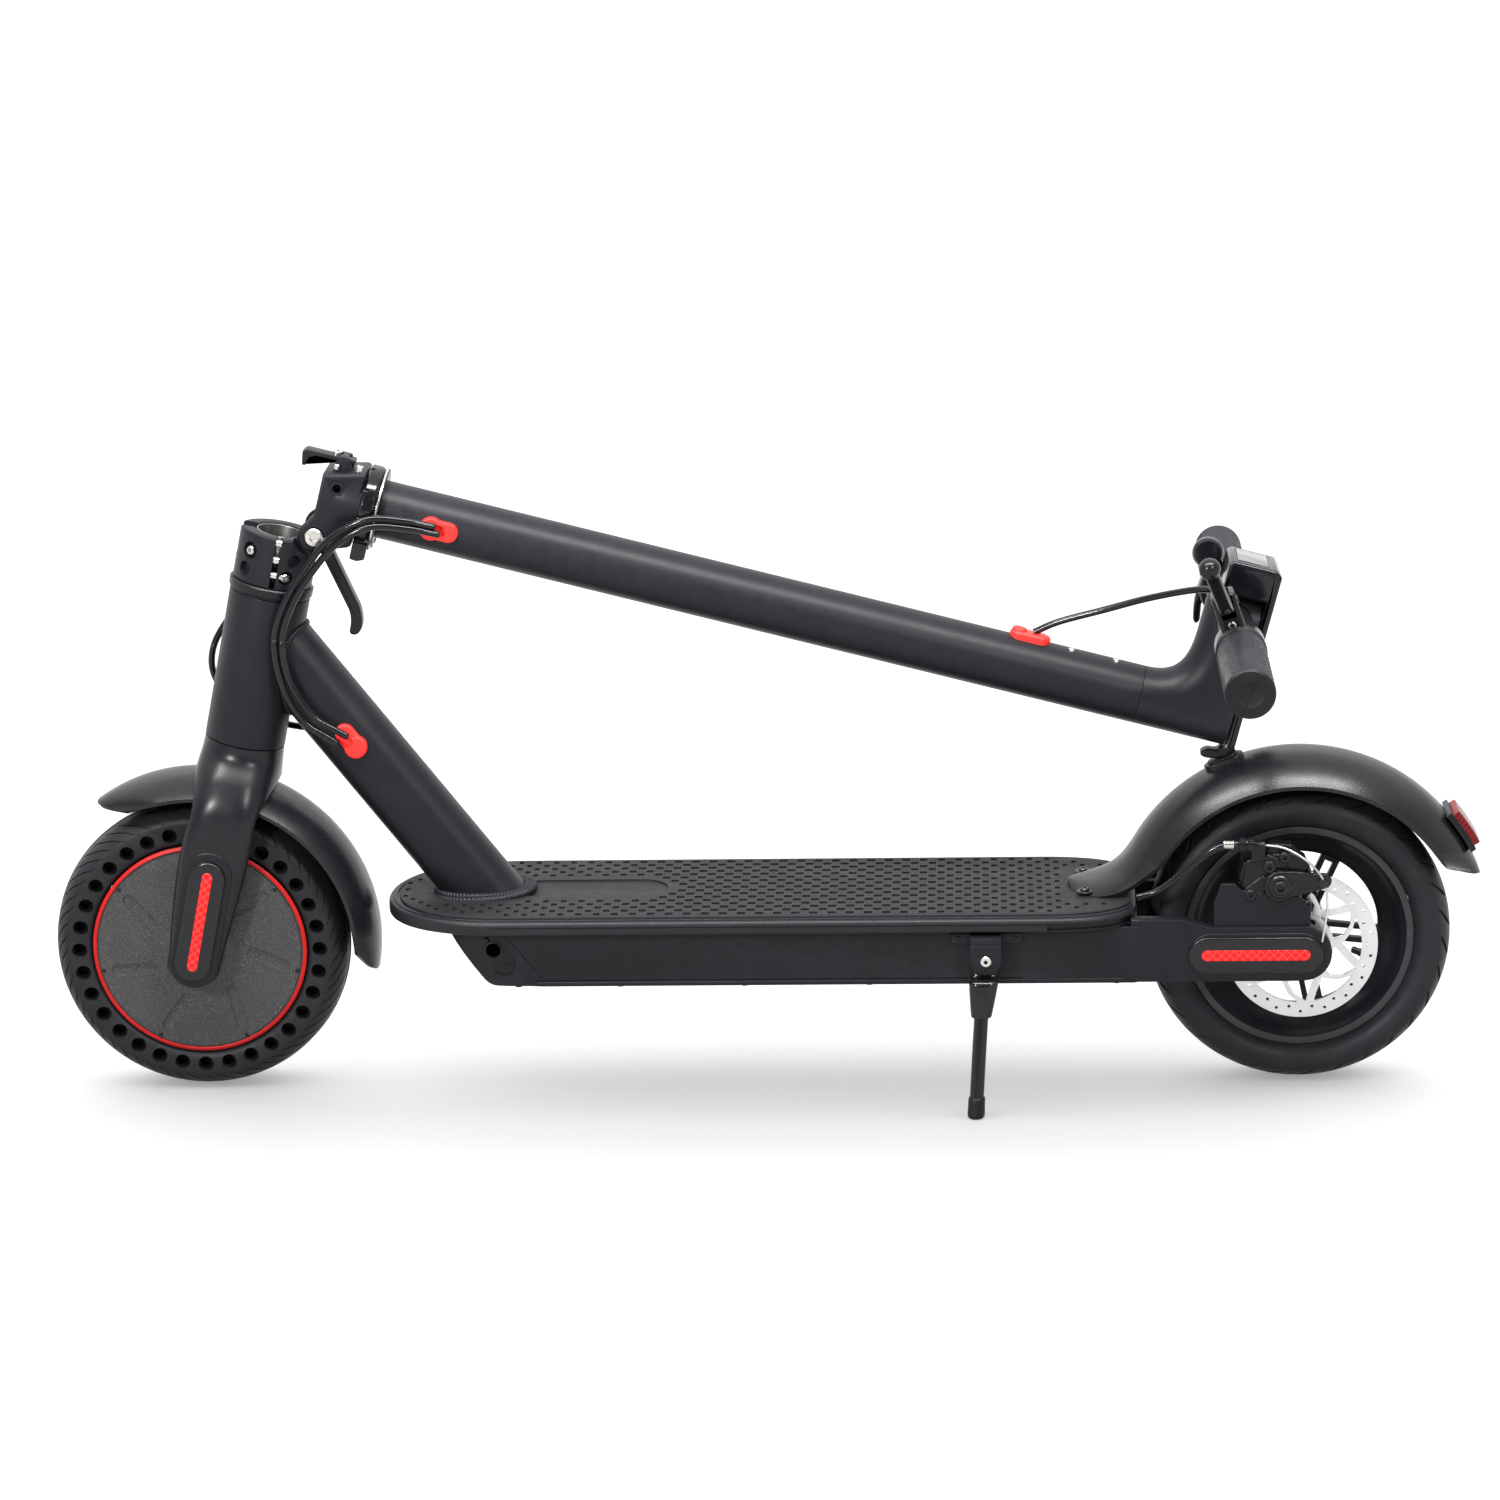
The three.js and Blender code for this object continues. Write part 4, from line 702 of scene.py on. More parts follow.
def hub_cover(side, name):
    face = 23.6
    profile = [(8, 15.9), (8, 29.2), (8.6, 29.9), (17, 29.9), (18, 29.2), (19.4, 26.4), (22, 24.9),
               (26, face + 0.6),
               (60, face + 0.3), (71, face), (74.4, face - 0.2), (74.8, 22.4), (75.5, 22.4), (75.6, 22.9),
               (78.4, 21.9),
               (78.4, 15.9)]
    plate_face = [(r, side * y) for r, y in profile]
    cover = lathe("hub_cover_" + name, plate_face, FRONT, segments=144, closed=True)
    pills = []
    for k in range(HUB_PILLS):
        angle = 42.8 + 360 / HUB_PILLS * k
        x, z = spun(0, 0, 51, angle)
        span = sorted((side * (face - 1.0), side * (face + 4)))
        pills.append(plate("pill", stadium(x, z, 33.5, 8.8, angle - 15), *span, FRONT, edge=0.25))
    cut(cover, join("pills", pills))
    piece(cover, "front_wheel", "hub_grey", HUB, "motor_cover_" + name, smooth=30)
    band = lathe("hub_ring_" + name, [(r, side * y) for r, y in
                                      ((75.7, 22.6), (75.9, 23.5), (76.4, 23.8), (77.9, 23.5), (78.6, 22.8),
                                       (78.6, 21.5), (75.7, 21.5))], FRONT, segments=144, closed=True)
    piece(band, "front_wheel", "red_rubber", RED_PAINT)
    heads = [screw(*spun_at(73, 38.2 + 360 / HUB_PILLS * k, side * (face - 0.1)), 1.5, 0.7, side, FRONT)
             for k in range(HUB_PILLS)]
    piece(join("hub_screws_" + name, heads), "front_wheel", "black_alloy", ALLOY)


def spun_at(r, degrees, y):
    x, z = spun(0, 0, r, degrees)
    return x, y, z


def rear_wheel():
    half = [(83, 15.6), (84.6, 19.5), (88, 22.8), (93, 24.8), (97, 24.9), (100.4, 23.2), (101.4, 22.9),
            (104, 20.4),
            (107, 15.5), (109.1, 8.5), (109.9, 0)]
    tyre = lathe("rear_tyre", tyre_profile(half, 83, 13.6), REAR, segments=192, closed=True)
    shoulder = [(101.9, 22.4), (103.4, 21), (104.8, 19.2), (106.4, 16.6), (107.8, 13.4), (108.8, 9.6)]
    for side in (-1, 1):
        line = [(r, y * side) for r, y in shoulder]
        cut(tyre, join("grooves", [groove(line, 360 / REAR_GROOVES * (k + 0.5 * (side > 0)), -9, 3.4, 1.5,
                                          REAR)
                                   for k in range(REAR_GROOVES)]))
    ribs = []
    for offset in (-5, 0, 5):
        rise = 109.9 - abs(offset) * 0.09
        ribs.append(lathe("rib", [(rise - 1, offset - 0.7), (rise + 3, offset - 0.7),
                                  (rise + 3, offset + 0.7),
                                  (rise - 1, offset + 0.7)], REAR, segments=192, closed=True))
    cut(tyre, join("ribs", ribs))
    piece(tyre, "rear_wheel", "tyre", SIDEWALL, "rear_tyre")
    rear_rim()
    brake_disc()


def rear_rim():
    dish = [(82.7, -15.4), (82.2, -15.9), (78.2, -15.9), (77.6, -15.3), (76.6, -13.2), (75.6, -12.6),
            (73, -8), (70, -4.6),
            (64, -0.8), (59, 2), (58.4, 2.8), (58.4, 9.4), (59.2, 10.2), (66, 11.6), (74, 14.2), (77.6, 15.7),
            (82.2, 15.9),
            (82.7, 15.4)]
    rim = lathe("rear_rim", dish, REAR, segments=160, closed=True)
    hub = [(7, DISC_FACE + 2), (17, DISC_FACE + 2), (20.4, DISC_FACE + 2.6), (21, -30), (21, 24), (20, 26),
           (7, 26)]
    fuse(rim, lathe("hub", hub, REAR, segments=72, closed=True))
    bars = []
    for k in range(SPOKE_PAIRS):
        turn = -78 + 360 / SPOKE_PAIRS * k
        for offset in (-5.1, 5.1):
            bar = plate("bar", stadium(38.5, offset, 45, 4.1), 2.2, 8.4, spun_frame(turn), edge=0.8)
            bars.append(bar)
        web = block("web", 14, 23, -1.5, 9, -8, 8, spun_frame(turn), edge=1)
        bars.append(web)
        tie = block("tie", 55, 61, 2.4, 8.2, -7, 7, spun_frame(turn), edge=0.8)
        bars.append(tie)
    for bar in bars:
        fuse(rim, bar)
    piece(rim, "rear_wheel", "black_paint", PAINT, "rear_rim")
    lip = ring("rear_rim_lip", 77.5, 82.6, -16.6, -15.7, REAR, edge=0.3, segments=160)
    piece(lip, "rear_wheel", "hub_grey", LIP)
    lip = ring("rear_rim_lip_right", 77.5, 82.6, 15.7, 16.6, REAR, edge=0.3, segments=160)
    piece(lip, "rear_wheel", "hub_grey", LIP)
    stem = lathe("valve", [(0, 42), (1.9, 42.4), (2.6, 43.5), (2.6, 48), (3, 48.6), (3, 53), (2.4, 53.6),
                           (2.9, 56),
                           (3.4, 60), (0, 60)], spun_frame(-22) @ FACE_ALONG, axis="Z",
                 segments=24)
    piece(stem, "rear_wheel", "black_plastic", PLASTIC)


def spun_frame(degrees):
    """The rear wheel's frame turned so that its X points along a spoke."""
    return REAR @ Matrix.Rotation(-math.radians(degrees), 4, "Y")


DISC_FACE = -36.9


def brake_disc():
    """A drilled disc on curved arms, left of the rear hub."""
    low, high = DISC_FACE, DISC_FACE + 1.8
    disc_ring = ring("brake_disc", 43.6, 55, low, high, REAR, edge=0.25, segments=180)
    arms = []
    for k in range(6):
        base = 60 * k + 8
        spine = [spun(0, 0, r, base + turn) for r, turn in ((17, -22), (24, -14), (31, -4), (38, 8),
                                                            (45, 21))]
        other = [spun(0, 0, r, base + turn) for r, turn in ((17, 14), (24, 4), (31, 5), (38, 15), (45, 30))]
        outline = spine + other[::-1]
        arms.append(plate("arm", outline, low + 0.05, high - 0.05, REAR, edge=0.15))
        branch = [spun(0, 0, r, base + turn) for r, turn in ((23, -8), (30, -22), (38, -30), (45, -34))]
        inner = [spun(0, 0, r, base + turn) for r, turn in ((25, 6), (32, -12), (39, -22), (45, -26))]
        arms.append(plate("branch", branch + inner[::-1], low + 0.08, high - 0.08, REAR, edge=0.15))
    for arm in arms:
        fuse(disc_ring, arm)
    fuse(disc_ring, ring("carrier", 12, 23.5, low + 0.02, high - 0.02, REAR, edge=0.2))
    drills = []
    for k in range(DISC_HOLES):
        r = 49.2 + (1.6 if k % 2 else -1.6)
        x, z = spun(0, 0, r, 360 / DISC_HOLES * k)
        drills.append(round_bar("drill", 1.25, low - 1, high + 1, REAR, segments=16,
                            centre=(x, z)))
    cut(disc_ring, join("drills", drills))
    piece(disc_ring, "rear_wheel", "steel", DISC_STEEL, "brake_disc", smooth=25)
    bolts = [screw(*spun_at(18.5, 60 * k + 5, low), 2.6, 1.6, -1, REAR) for k in range(6)]
    piece(join("disc_bolts", bolts), "rear_wheel", "black_alloy", ALLOY)


# ---------------------------------------------------------------- fork and front mudguard
def fork():
    sections = [
        (0, 0, -26, 20.5, 52, 8, 0), (0, 0, 0, 20.5, 52, 8, 0), (0.3, 0, 40, 24.5, 52, 7, 0),
        (1.5, 0, 80, 28.6, 52, 5, 0),
        (3, 0, 112, 30.5, 50, 3.4, 0), (4, 0, 132, 30.6, 42, 2.6, 0), (4.6, 0, 148, 29.4, 31, 2.1, 0),
        (4.6, 0, 158.2, 28.8, 28.8, 2, 0),
    ]
    body = loft("fork", sections, STEER, sides=128, between=8)
    side_view = arc(0, 0, 20.5, 180, 360, 32) + [(45, 60), (45, 170), (-45, 170), (-45, 60)]
    boolean(body, plate("side", side_view, -51.6, 51.6, STEER, edge=3.2, steps=5), "INTERSECT")
    arch = [(45.5, -40)] + arc_scaled(0, 100, 45.5, 34.5, 0, 180, 32) + [(-45.5, -40)]
    cut(body, plate("arch", arch, -70, 70, STEER, edge=0, plane="YZ"))
    steerer = lathe("steerer", [(0, 146), (15.9, 146), (15.9, 298.4), (15.3, 299), (12.6, 299), (12.6, 250),
                                (0, 250)],
                    STEER, axis="Z", segments=48, centre=(4.6, 0))
    fuse(body, steerer)
    piece(body, "steerer", "black_paint", FORK_PAINT, "fork")
    for side, name in ((-1, "left"), (1, "right")):
        layers = (("boss", 104, 34.5, 50.6, 52.8, PLASTIC, "black_plastic", 0.9),
                  ("cover", 91, 26, 52.2, 56.4, GLOSS_COVER, "black_plastic", 1.3),
                  ("strip", 76, 7.4, 55.6, 57, REFLECTOR_FORK, "red_rubber", 0.4))
        for label, length, width, near, far, material, slot, edge in layers:
            span = sorted((side * near, side * far))
            low_edge, high_edge = (edge, 0) if side < 0 else (0, edge)
            layer = plate("fork_" + label + "_" + name, stadium(0, 32, length, width, 90, 20), *span, STEER,
                          edge=high_edge, low_edge=low_edge, steps=4)
            piece(layer, "steerer", slot, material)


def arc_scaled(cx, cy, rx, ry, start, end, steps):
    angles = [math.radians(start + (end - start) * i / steps) for i in range(steps + 1)]
    return [(cx + rx * math.cos(a), cy + ry * math.sin(a)) for a in angles]


def guard_loop(r, half, drop, thick, across):
    """A mudguard's closed cross loop of (radius, y, share across) points with rounded rims."""
    outer, inner = [], []
    for i in range(across + 1):
        f = -1 + 2 * i / across
        f = math.copysign(1 - (1 - abs(f)) ** 1.25, f)
        fall = drop * abs(f) ** 2.4
        outer.append((r - fall, f * half, f))
        inner.append((r - fall - thick * (1 + 0.25 * abs(f) ** 4), f * (half - thick * 0.75), f))
    rim = []
    for side in (1, -1):
        r0, y0, f0 = outer[-1] if side > 0 else inner[0]
        r1, y1 = (inner[-1] if side > 0 else outer[0])[:2]
        rim.append(((r0 + r1) / 2 - thick * 0.42, (y0 + y1) / 2 + side * thick * 0.1, f0))
    return outer + [rim[0]] + inner[::-1] + [rim[1]]


def front_fender():
    loop = guard_loop(131, 36, 13, 2.6, 26)
    tilt = math.degrees(Vector(JOINT["steering"]["axis"]).angle(UP))
    rings = []
    steps = 110
    for i in range(steps + 1):
        t = i / steps
        line = []
        for r, y, f in loop:
            point = abs(f) ** 3.2
            start = -9.3 + tilt + 7.5 * point
            end = 123.7 + tilt - 9.5 * point
            x, z = spun(0, 0, r + 1.2 * (1 - (2 * t - 1) ** 2) - 0.6, start + (end - start) * t)
            narrow = 1 - 0.30 * max(0, (t - 0.86) / 0.14) ** 2 - 0.22 * max(0, (0.1 - t) / 0.1) ** 2
            line.append((x, y * narrow, z))
        rings.append(line)
    guard = skin("front_fender", rings, STEER)
    piece(guard, "steerer", "black_plastic", FENDER, "front_fender", smooth=50)
    stay = disc("fender_boss", 9, 129.6, 133.4, STEER, "Z", centre=(4.6, 0))
    piece(stay, "steerer", "black_plastic", FENDER)


# ---------------------------------------------------------------- head tube and down tube
def head_tube():
    profile = rounded((29, 158.9, 0.7), (29, 270.7, 0.7), (24, 270.7, 0.3), (24, 262, 0), (20, 262, 0),
                      (20, 167.6, 0),
                      (24, 167.6, 0), (24, 158.9, 0.3))
    tube_body = lathe("head_tube", profile, STEER, "Z", 128, closed=True, centre=HEAD)
    piece(tube_body, "frame", "black_paint", PAINT, "head_tube")
    cap = rounded((16.3, 271.2, 0), (28.9, 271.2, 0.3), (28.9, 272.2, 0), (30.2, 273, 0.6),
                  (30.4, 278.2, 0.7),
                  (29.4, 279.2, 0.2), (16.3, 279.2, 0))
    rings = lathe("headset_cap", cap, STEER, "Z", 128, closed=True, centre=HEAD)
    piece(rings, "steerer", "black_plastic", PLASTIC, "headset_cap")


SLOPE = math.radians(52.8)
ALONG = Vector((-math.cos(SLOPE), 0, math.sin(SLOPE)))
ACROSS = Vector((math.sin(SLOPE), 0, math.cos(SLOPE)))
FOOT = Vector((209.8, 0, 143))
DOWN_HALF = (25.7, 23)


def down_point(t, up, grow=0.0):
    """A point of the down tube's surface, at an angle round it and a distance up from its foot."""
    c, s = math.cos(t), math.sin(t)
    n = 2 / 2.3
    a = (DOWN_HALF[0] + grow) * math.copysign(abs(c) ** n, c)
    b = (DOWN_HALF[1] + grow) * math.copysign(abs(s) ** n, s)
    return FOOT + ALONG * up + ACROSS * a + Vector((0, b, 0))


def reach_deck(t, level):
    start = down_point(t, 0)
    return (level - start.z) / ALONG.z


def reach_head(t, radius):
    """How far up the down tube its surface line meets the head tube."""
    tilt = Vector(JOINT["steering"]["axis"]).normalized()
    side = Vector((tilt.z, 0, -tilt.x))
    axis_point = Vector((0, 0, 108)) + side * 4.6
    start = down_point(t, 0) - axis_point
    p = start - tilt * start.dot(tilt)
    d = ALONG - tilt * ALONG.dot(tilt)
    a, b, c = d.dot(d), 2 * p.dot(d), p.dot(p) - radius ** 2
    return (-b - math.sqrt(max(b * b - 4 * a * c, 0))) / (2 * a)


def weld(name, reach, radius, grow, count):
    """A bead of overlapping coins laid round the down tube's end."""
    per_coin = 5
    points = []
    for i in range(count * per_coin):
        t = 2 * math.pi * i / (count * per_coin)
        points.append(down_point(t, reach(t), grow))
    rings = []
    total = len(points)
    for i, p in enumerate(points):
        ahead = (points[(i + 1) % total] - points[i - 1]).normalized()
        out = (p - (FOOT + ALONG * (p - FOOT).dot(ALONG))).normalized()
        up = ahead.cross(out).normalized()
        out = up.cross(ahead).normalized()
        r = radius * (0.86 + 0.2 * math.sin(math.pi * (i % per_coin + 0.5) / per_coin))
        rings.append([p + out * r * math.cos(2 * math.pi * j / 12) + up * r * math.sin(2 * math.pi * j / 12)
                      for j in range(12)])
    return skin(name, rings, ROAD, closed=True)


def down_tube():
    sides, rows = 96, 12
    rings = []
    for i in range(rows + 1):
        line = []
        for j in range(sides):
            t = 2 * math.pi * j / sides
            low, high = reach_deck(t, 143.2), reach_head(t, 29.2)
            line.append(down_point(t, low + (high - low) * i / rows))
        rings.append(line)
    bar = skin("down_tube", rings, ROAD)
    piece(bar, "frame", "black_paint", PAINT, "down_tube", smooth=45)
    beads = join("down_tube_welds", [
        weld("head_bead", lambda t: reach_head(t, 29.9), 2.0, -0.2, 78),
        weld("deck_bead", lambda t: reach_deck(t, 146.4), 3.2, 0.4, 76),
        weld("deck_bead_low", lambda t: reach_deck(t, 144.6), 3.4, 3.4, 76),
    ])
    piece(beads, "frame", "black_paint", PAINT, smooth=80)


def grommet(name, place, surface, side, body, node, outline_turn, notch):
    """A red rubber cable grommet: a domed pill on a tube's side with a mouth for its cables."""
    near, far = sorted((side * (surface - 5), side * (surface + 4)))
    edges = (1.6, 0) if side < 0 else (0, 1.6)
    pill = plate(name, stadium(0, 0, 27, 14.2, outline_turn, 16), near, far, place, edge=edges[1],
                 low_edge=edges[0],
                 steps=5)
    lobe_x, lobe_z = spun(0, 0, 6.2, outline_turn + 180)
    lobe = plate("lobe", stadium(lobe_x, lobe_z, 17, 16.6, outline_turn, 16), *sorted((side * (surface - 5),
                 side * (surface + 4.4))), place, edge=edges[1] and 1.8, low_edge=edges[0] and 1.8, steps=5)
    fuse(pill, lobe)
    mouth_x, mouth_z = spun(0, 0, notch[0], notch[1])
    span = sorted((side * (surface + 0.6), side * (surface + 9)))
    cut(pill, plate("mouth", stadium(mouth_x, mouth_z, notch[2], notch[3], notch[4], 12), *span, place,
                    edge=0.2))
    return piece(pill, body, "red_rubber", RED, node)


def frame_grommets():
    place = ROAD @ Matrix.Translation(Vector((118, 0, 266)))
    grommet("frame_grommet_left", place, 22.7, -1, "frame", "frame_grommet_left", -232.8,
            (8, 152, 22, 7.6, 140))
    grommet("frame_grommet_right", place, 22.7, 1, "frame", "frame_grommet_right", -232.8,
            (8, 152, 22, 7.6, 140))


# ---------------------------------------------------------------- fold joint
def fold_base():
    """The open clamp on top of the steerer, with its two ears, split, bolts and dimples."""
    profile = rounded((17.3, 279.7, 0.4), (28.5, 279.7, 0.6), (28.5, 316.4, 1.2), (26.6, 317, 0.4),
                      (19.4, 317, 0.6),
                      (17.3, 315.6, 0.3))
    body = lathe("fold_base", profile, STEER, "Z", 128, closed=True, centre=HEAD)
    pivot_at = STEER.inverted() @ pivot("stem_fold")
    u, w = pivot_at.x, pivot_at.z
    ear = [(12.6, 292), (12.6, 317)] + [(u - 13, 317)] + arc(u, w, 10, 150, -30, 20) + [(u + 2, 300)]
    for low, high in ((-15.6, -7.3), (7.3, 15.6)):
        fuse(body, plate("ear", ear, low, high, STEER, edge=0.8))
    cut(body, round_bar("bore", 17.3, 260, 330, STEER, "Z", 96, centre=HEAD))
    for span in ((-40, -15.6), (15.6, 40)):
        cut(body, round_bar("relief", 15, span[0], span[1], STEER, segments=64,
                        centre=(u, w)))
    cut(body,
        block("lever_slot", 23.4, 60, -7.3, 7.3, 288, 340, STEER, edge=0.5),
        block("split", 5.6, 9.8, -40, -10, 270, 340, STEER, edge=0.3),
        block("hook_notch", -40, -10.4, -6.8, 6.8, 296, 340, STEER, edge=0.6))
    dimples = []
    for x, z, r in CLAMP_DIMPLES:
        pit = lathe("dimple", [(0, -6), (r * 0.72, -4.6), (r * 0.95, -1.5), (r, 0), (r, 14), (0, 14)],
                    dimple_frame(x, z), "Z", 40)
        dimples.append(pit)
    for pit in dimples:
        cut(body, pit)
    piece(body, "steerer", "black_paint", PAINT, "fold_base")
    bolts = []
    for x, z in ((-12.2, 303.6), (16.5, 288.6)):
        place = dimple_frame(x, z)
        bolts.append(cap_screw(3.2, 5.2, place @ Matrix.Translation((0, 0, -4.8))))
    piece(join("clamp_bolts", bolts), "steerer", "steel", ZINC)
    rods = [round_bar("clamp_rod", 2.5, 2.4, 13.4, STEER @ Matrix.Translation((0, -24.6, z)) @ FACE_ALONG,
                      "Z", 24)
            for z in (313, 300.5, 289)]
    piece(join("clamp_rods", rods), "steerer", "steel", ZINC)
    liner = rounded((16.1, 299.4, 0), (17.1, 299.4, 0), (17.1, 316.2, 0.3), (16.1, 316.2, 0.3))
    lining = lathe("clamp_liner", liner, STEER, "Z", 96, closed=True, centre=HEAD)
    piece(lining, "steerer", "steel", BORE_STEEL)


CLAMP_DIMPLES = ((-12.4, 303.6, 6.4), (-14.4, 289.4, 5.4), (20.5, 301.5, 5.0), (16.5, 288.8, 5.2))


def dimple_frame(x, z):
    """A frame on the clamp's left wall whose Z points straight out of it."""
    angle = math.atan2(-math.sqrt(max(28.5 ** 2 - (x - 4.6) ** 2, 0)), x - 4.6)
    out = Vector((math.cos(angle), math.sin(angle), 0))
    side = Vector((-out.y, out.x, 0))
    turn = Matrix((side, Vector((0, 0, 1)), out)).transposed().to_4x4()
    return STEER @ Matrix.Translation(Vector((4.6, 0, z)) + out * 28.5) @ turn


def cap_screw(r, height, place, socket=0.52):
    """A socket-head screw that stands along its frame's Z."""
    head = lathe("cap_screw", [(0, -2), (r, -2), (r, height - 0.7), (r - 0.6, height), (0, height)], place,
                 "Z", 32)
    hexagon = [(r * socket * math.cos(math.pi * k / 3), r * socket * math.sin(math.pi * k / 3))
               for k in range(6)]
    return cut(head, plate("socket", hexagon, height - 2.4, height + 2, place, edge=0, plane="XY"))


def fold_bracket():
    """The stem's lower casting: two cheeks round the ears, a body, and lugs for the hook."""
    outline = [(-46, -3.5), (-15, -3.5), (-9.4, -7.2)] + arc(0, 0, 11.7, 222, 355, 24) + [(2.2, 24.4),
        (0.4, 26.5)] \
        + bezier((-50, 26.5), (-52.8, 26.5), (-52.6, 23), steps=4)
    body = plate("fold_bracket", outline, -22, 22, STEM, edge=2.0, steps=5)
    swell = [(-26.4, 0, 4, 20.5, 21, 3, 0), (-26.4, 0, 14, 21, 23.6, 2.6, 0),
             (-26.4, 0, 26.8, 21.4, 24.4, 2.3, 0)]
    fuse(body, loft("swell", swell, STEM, sides=72))
    fuse(body, round_bar("hub", 20.6, 20, 38.2, STEM, "Z", 96, centre=COLUMN))
    for low, high in ((-9, -4.6), (4.6, 9)):
        lug = rounded((-44, 1, 0.5), (-59, 4, 1.5), (-59, 12, 1.5), (-44, 17, 0.5))
        fuse(body, plate("lug", lug, low, high, STEM, edge=0.6))
    cut(body,
        round_bar("ear_room", 14.2, -16, 16, STEM, segments=64),
        block("rear_room", -6, 20, -16, 16, -20, 13, STEM, edge=0.5),
        block("lever_room", -7.6, 30, -6.7, 6.7, -20, 40, STEM, edge=0.5),
        round_bar("pin", 5.3, -30, 30, STEM, segments=40),
        round_bar("seat", 7.4, -30, -21.2, STEM, segments=48))
    hole = round_bar("side_hole", 3.4, -26, -12, STEM, segments=32, centre=SIDE_HOLE)
    sink = lathe("sink", [(0, -30), (6, -30), (6, -22.6), (4.4, -21.4), (0, -21.4)], STEM, segments=32,
                 centre=SIDE_HOLE)
    cut(body, sink, hole)
    piece(body, "stem", "black_paint", PAINT, "fold_bracket")
    rim = lathe("hole_rim", [(3.5, -22.4), (4.6, -22.4), (4.9, -21.9), (4.9, -20), (3.5, -20)], STEM,
                segments=40,
                closed=True, centre=SIDE_HOLE)
    piece(rim, "stem", "black_alloy", ALLOY)
    grub = [screw_up(-54.6, -14, 20.8, 2.6, 2.4), screw_up(-52.0, -12, 4.5, 2.0, 1.6)]
    piece(join("bracket_screws", grub), "stem", "steel", ZINC)
    bolt = [(0, -25.6), (1.2, -25.6), (5.8, -25.2), (6.6, -24.4), (6.8, -22.3), (5, -22.3), (5, 22.3),
            (6.8, 22.3),
            (6.6, 24.4), (5.8, 25.2), (0, 25.6)]
    pin = lathe("pivot_bolt", bolt, STEM, segments=48)
    star = [(3.4 * (1 - 0.22 * (k % 2)) * math.cos(math.pi * k / 6),
             3.4 * (1 - 0.22 * (k % 2)) * math.sin(math.pi * k / 6))
            for k in range(12)]
    cut(pin, plate("socket", star, -27, -23.6, STEM, edge=0), plate("socket", star, 23.6, 27, STEM, edge=0))
    piece(pin, "stem", "steel", ZINC, "pivot_bolt")


def screw_up(t, y, s, r, height):
    """A small socket screw that stands on the bracket's top, which faces the stem frame's -X."""
    place = STEM @ Matrix.Translation((t, y, s)) @ FACE_BACK
    return cap_screw(r, height, place)


def fold_lever():
    """The pinched lever below the pivot: a flat bar with a long slot and a curled tip."""
    turn = Matrix.Rotation(math.radians(52), 4, "Y")
    outline = [(-4.4, 4)] + arc(0, 0, 7, 205, 335, 16) + [(4.4, 17)] \
        + bezier((4.2, 60), (4.4, 68), (10.8, 75.6), steps=8) \
        + bezier((10.9, 78), (8, 81), (5, 79.6), steps=4) \
        + bezier((3, 78.4), (-2, 74), (-3.8, 62), steps=8) + [(-4, 16)]
    blade = plate("fold_lever", outline, -6.1, 6.1, STEM @ turn, edge=1.5, steps=4)
    side_slot = stadium(0.3, 44, 46, 3.6, 90)
    cut(blade,
        plate("slot", side_slot, -9, -4.6, STEM @ turn, edge=0.2),
        plate("slot", side_slot, 4.6, 9, STEM @ turn, edge=0.2),
        block("groove", 1.6, 12, -2.8, 2.8, 14, 60, STEM @ turn, edge=0.6),
        round_bar("pin", 5.3, -30, 30, STEM, segments=40))
    piece(blade, "fold_lever", "black_alloy", PLASTIC, "fold_lever")


def safety_hook():
    outline = rounded((-57.6, 16, 0.8), (-57.6, -20, 1.6), (-55.8, -22.4, 1.4), (-52, -22, 1.2),
                      (-45.5, -20.8, 0.8),
                      (-45.7, -18.4, 0.8), (-51.6, -16.6, 2.4), (-54, -12, 1), (-54.2, 16, 0.6))
    hook = plate("safety_hook", outline, -6.2, 6.2, STEM, edge=0.7)
    fuse(hook, round_bar("barrel", 3.7, -4.2, 4.2, STEM, segments=32, centre=HOOK_PIN))
    fuse(hook, round_bar("pin", 1.6, -8.8, 8.8, STEM, segments=24, centre=HOOK_PIN))
    piece(hook, "safety_hook", "black_alloy", PLASTIC, "safety_hook")
    place = STEM @ Matrix.Translation((-57.8, 0, 1.5)) @ FACE_BACK
    piece(cap_screw(3.0, 2.6, place), "safety_hook", "steel", ZINC)


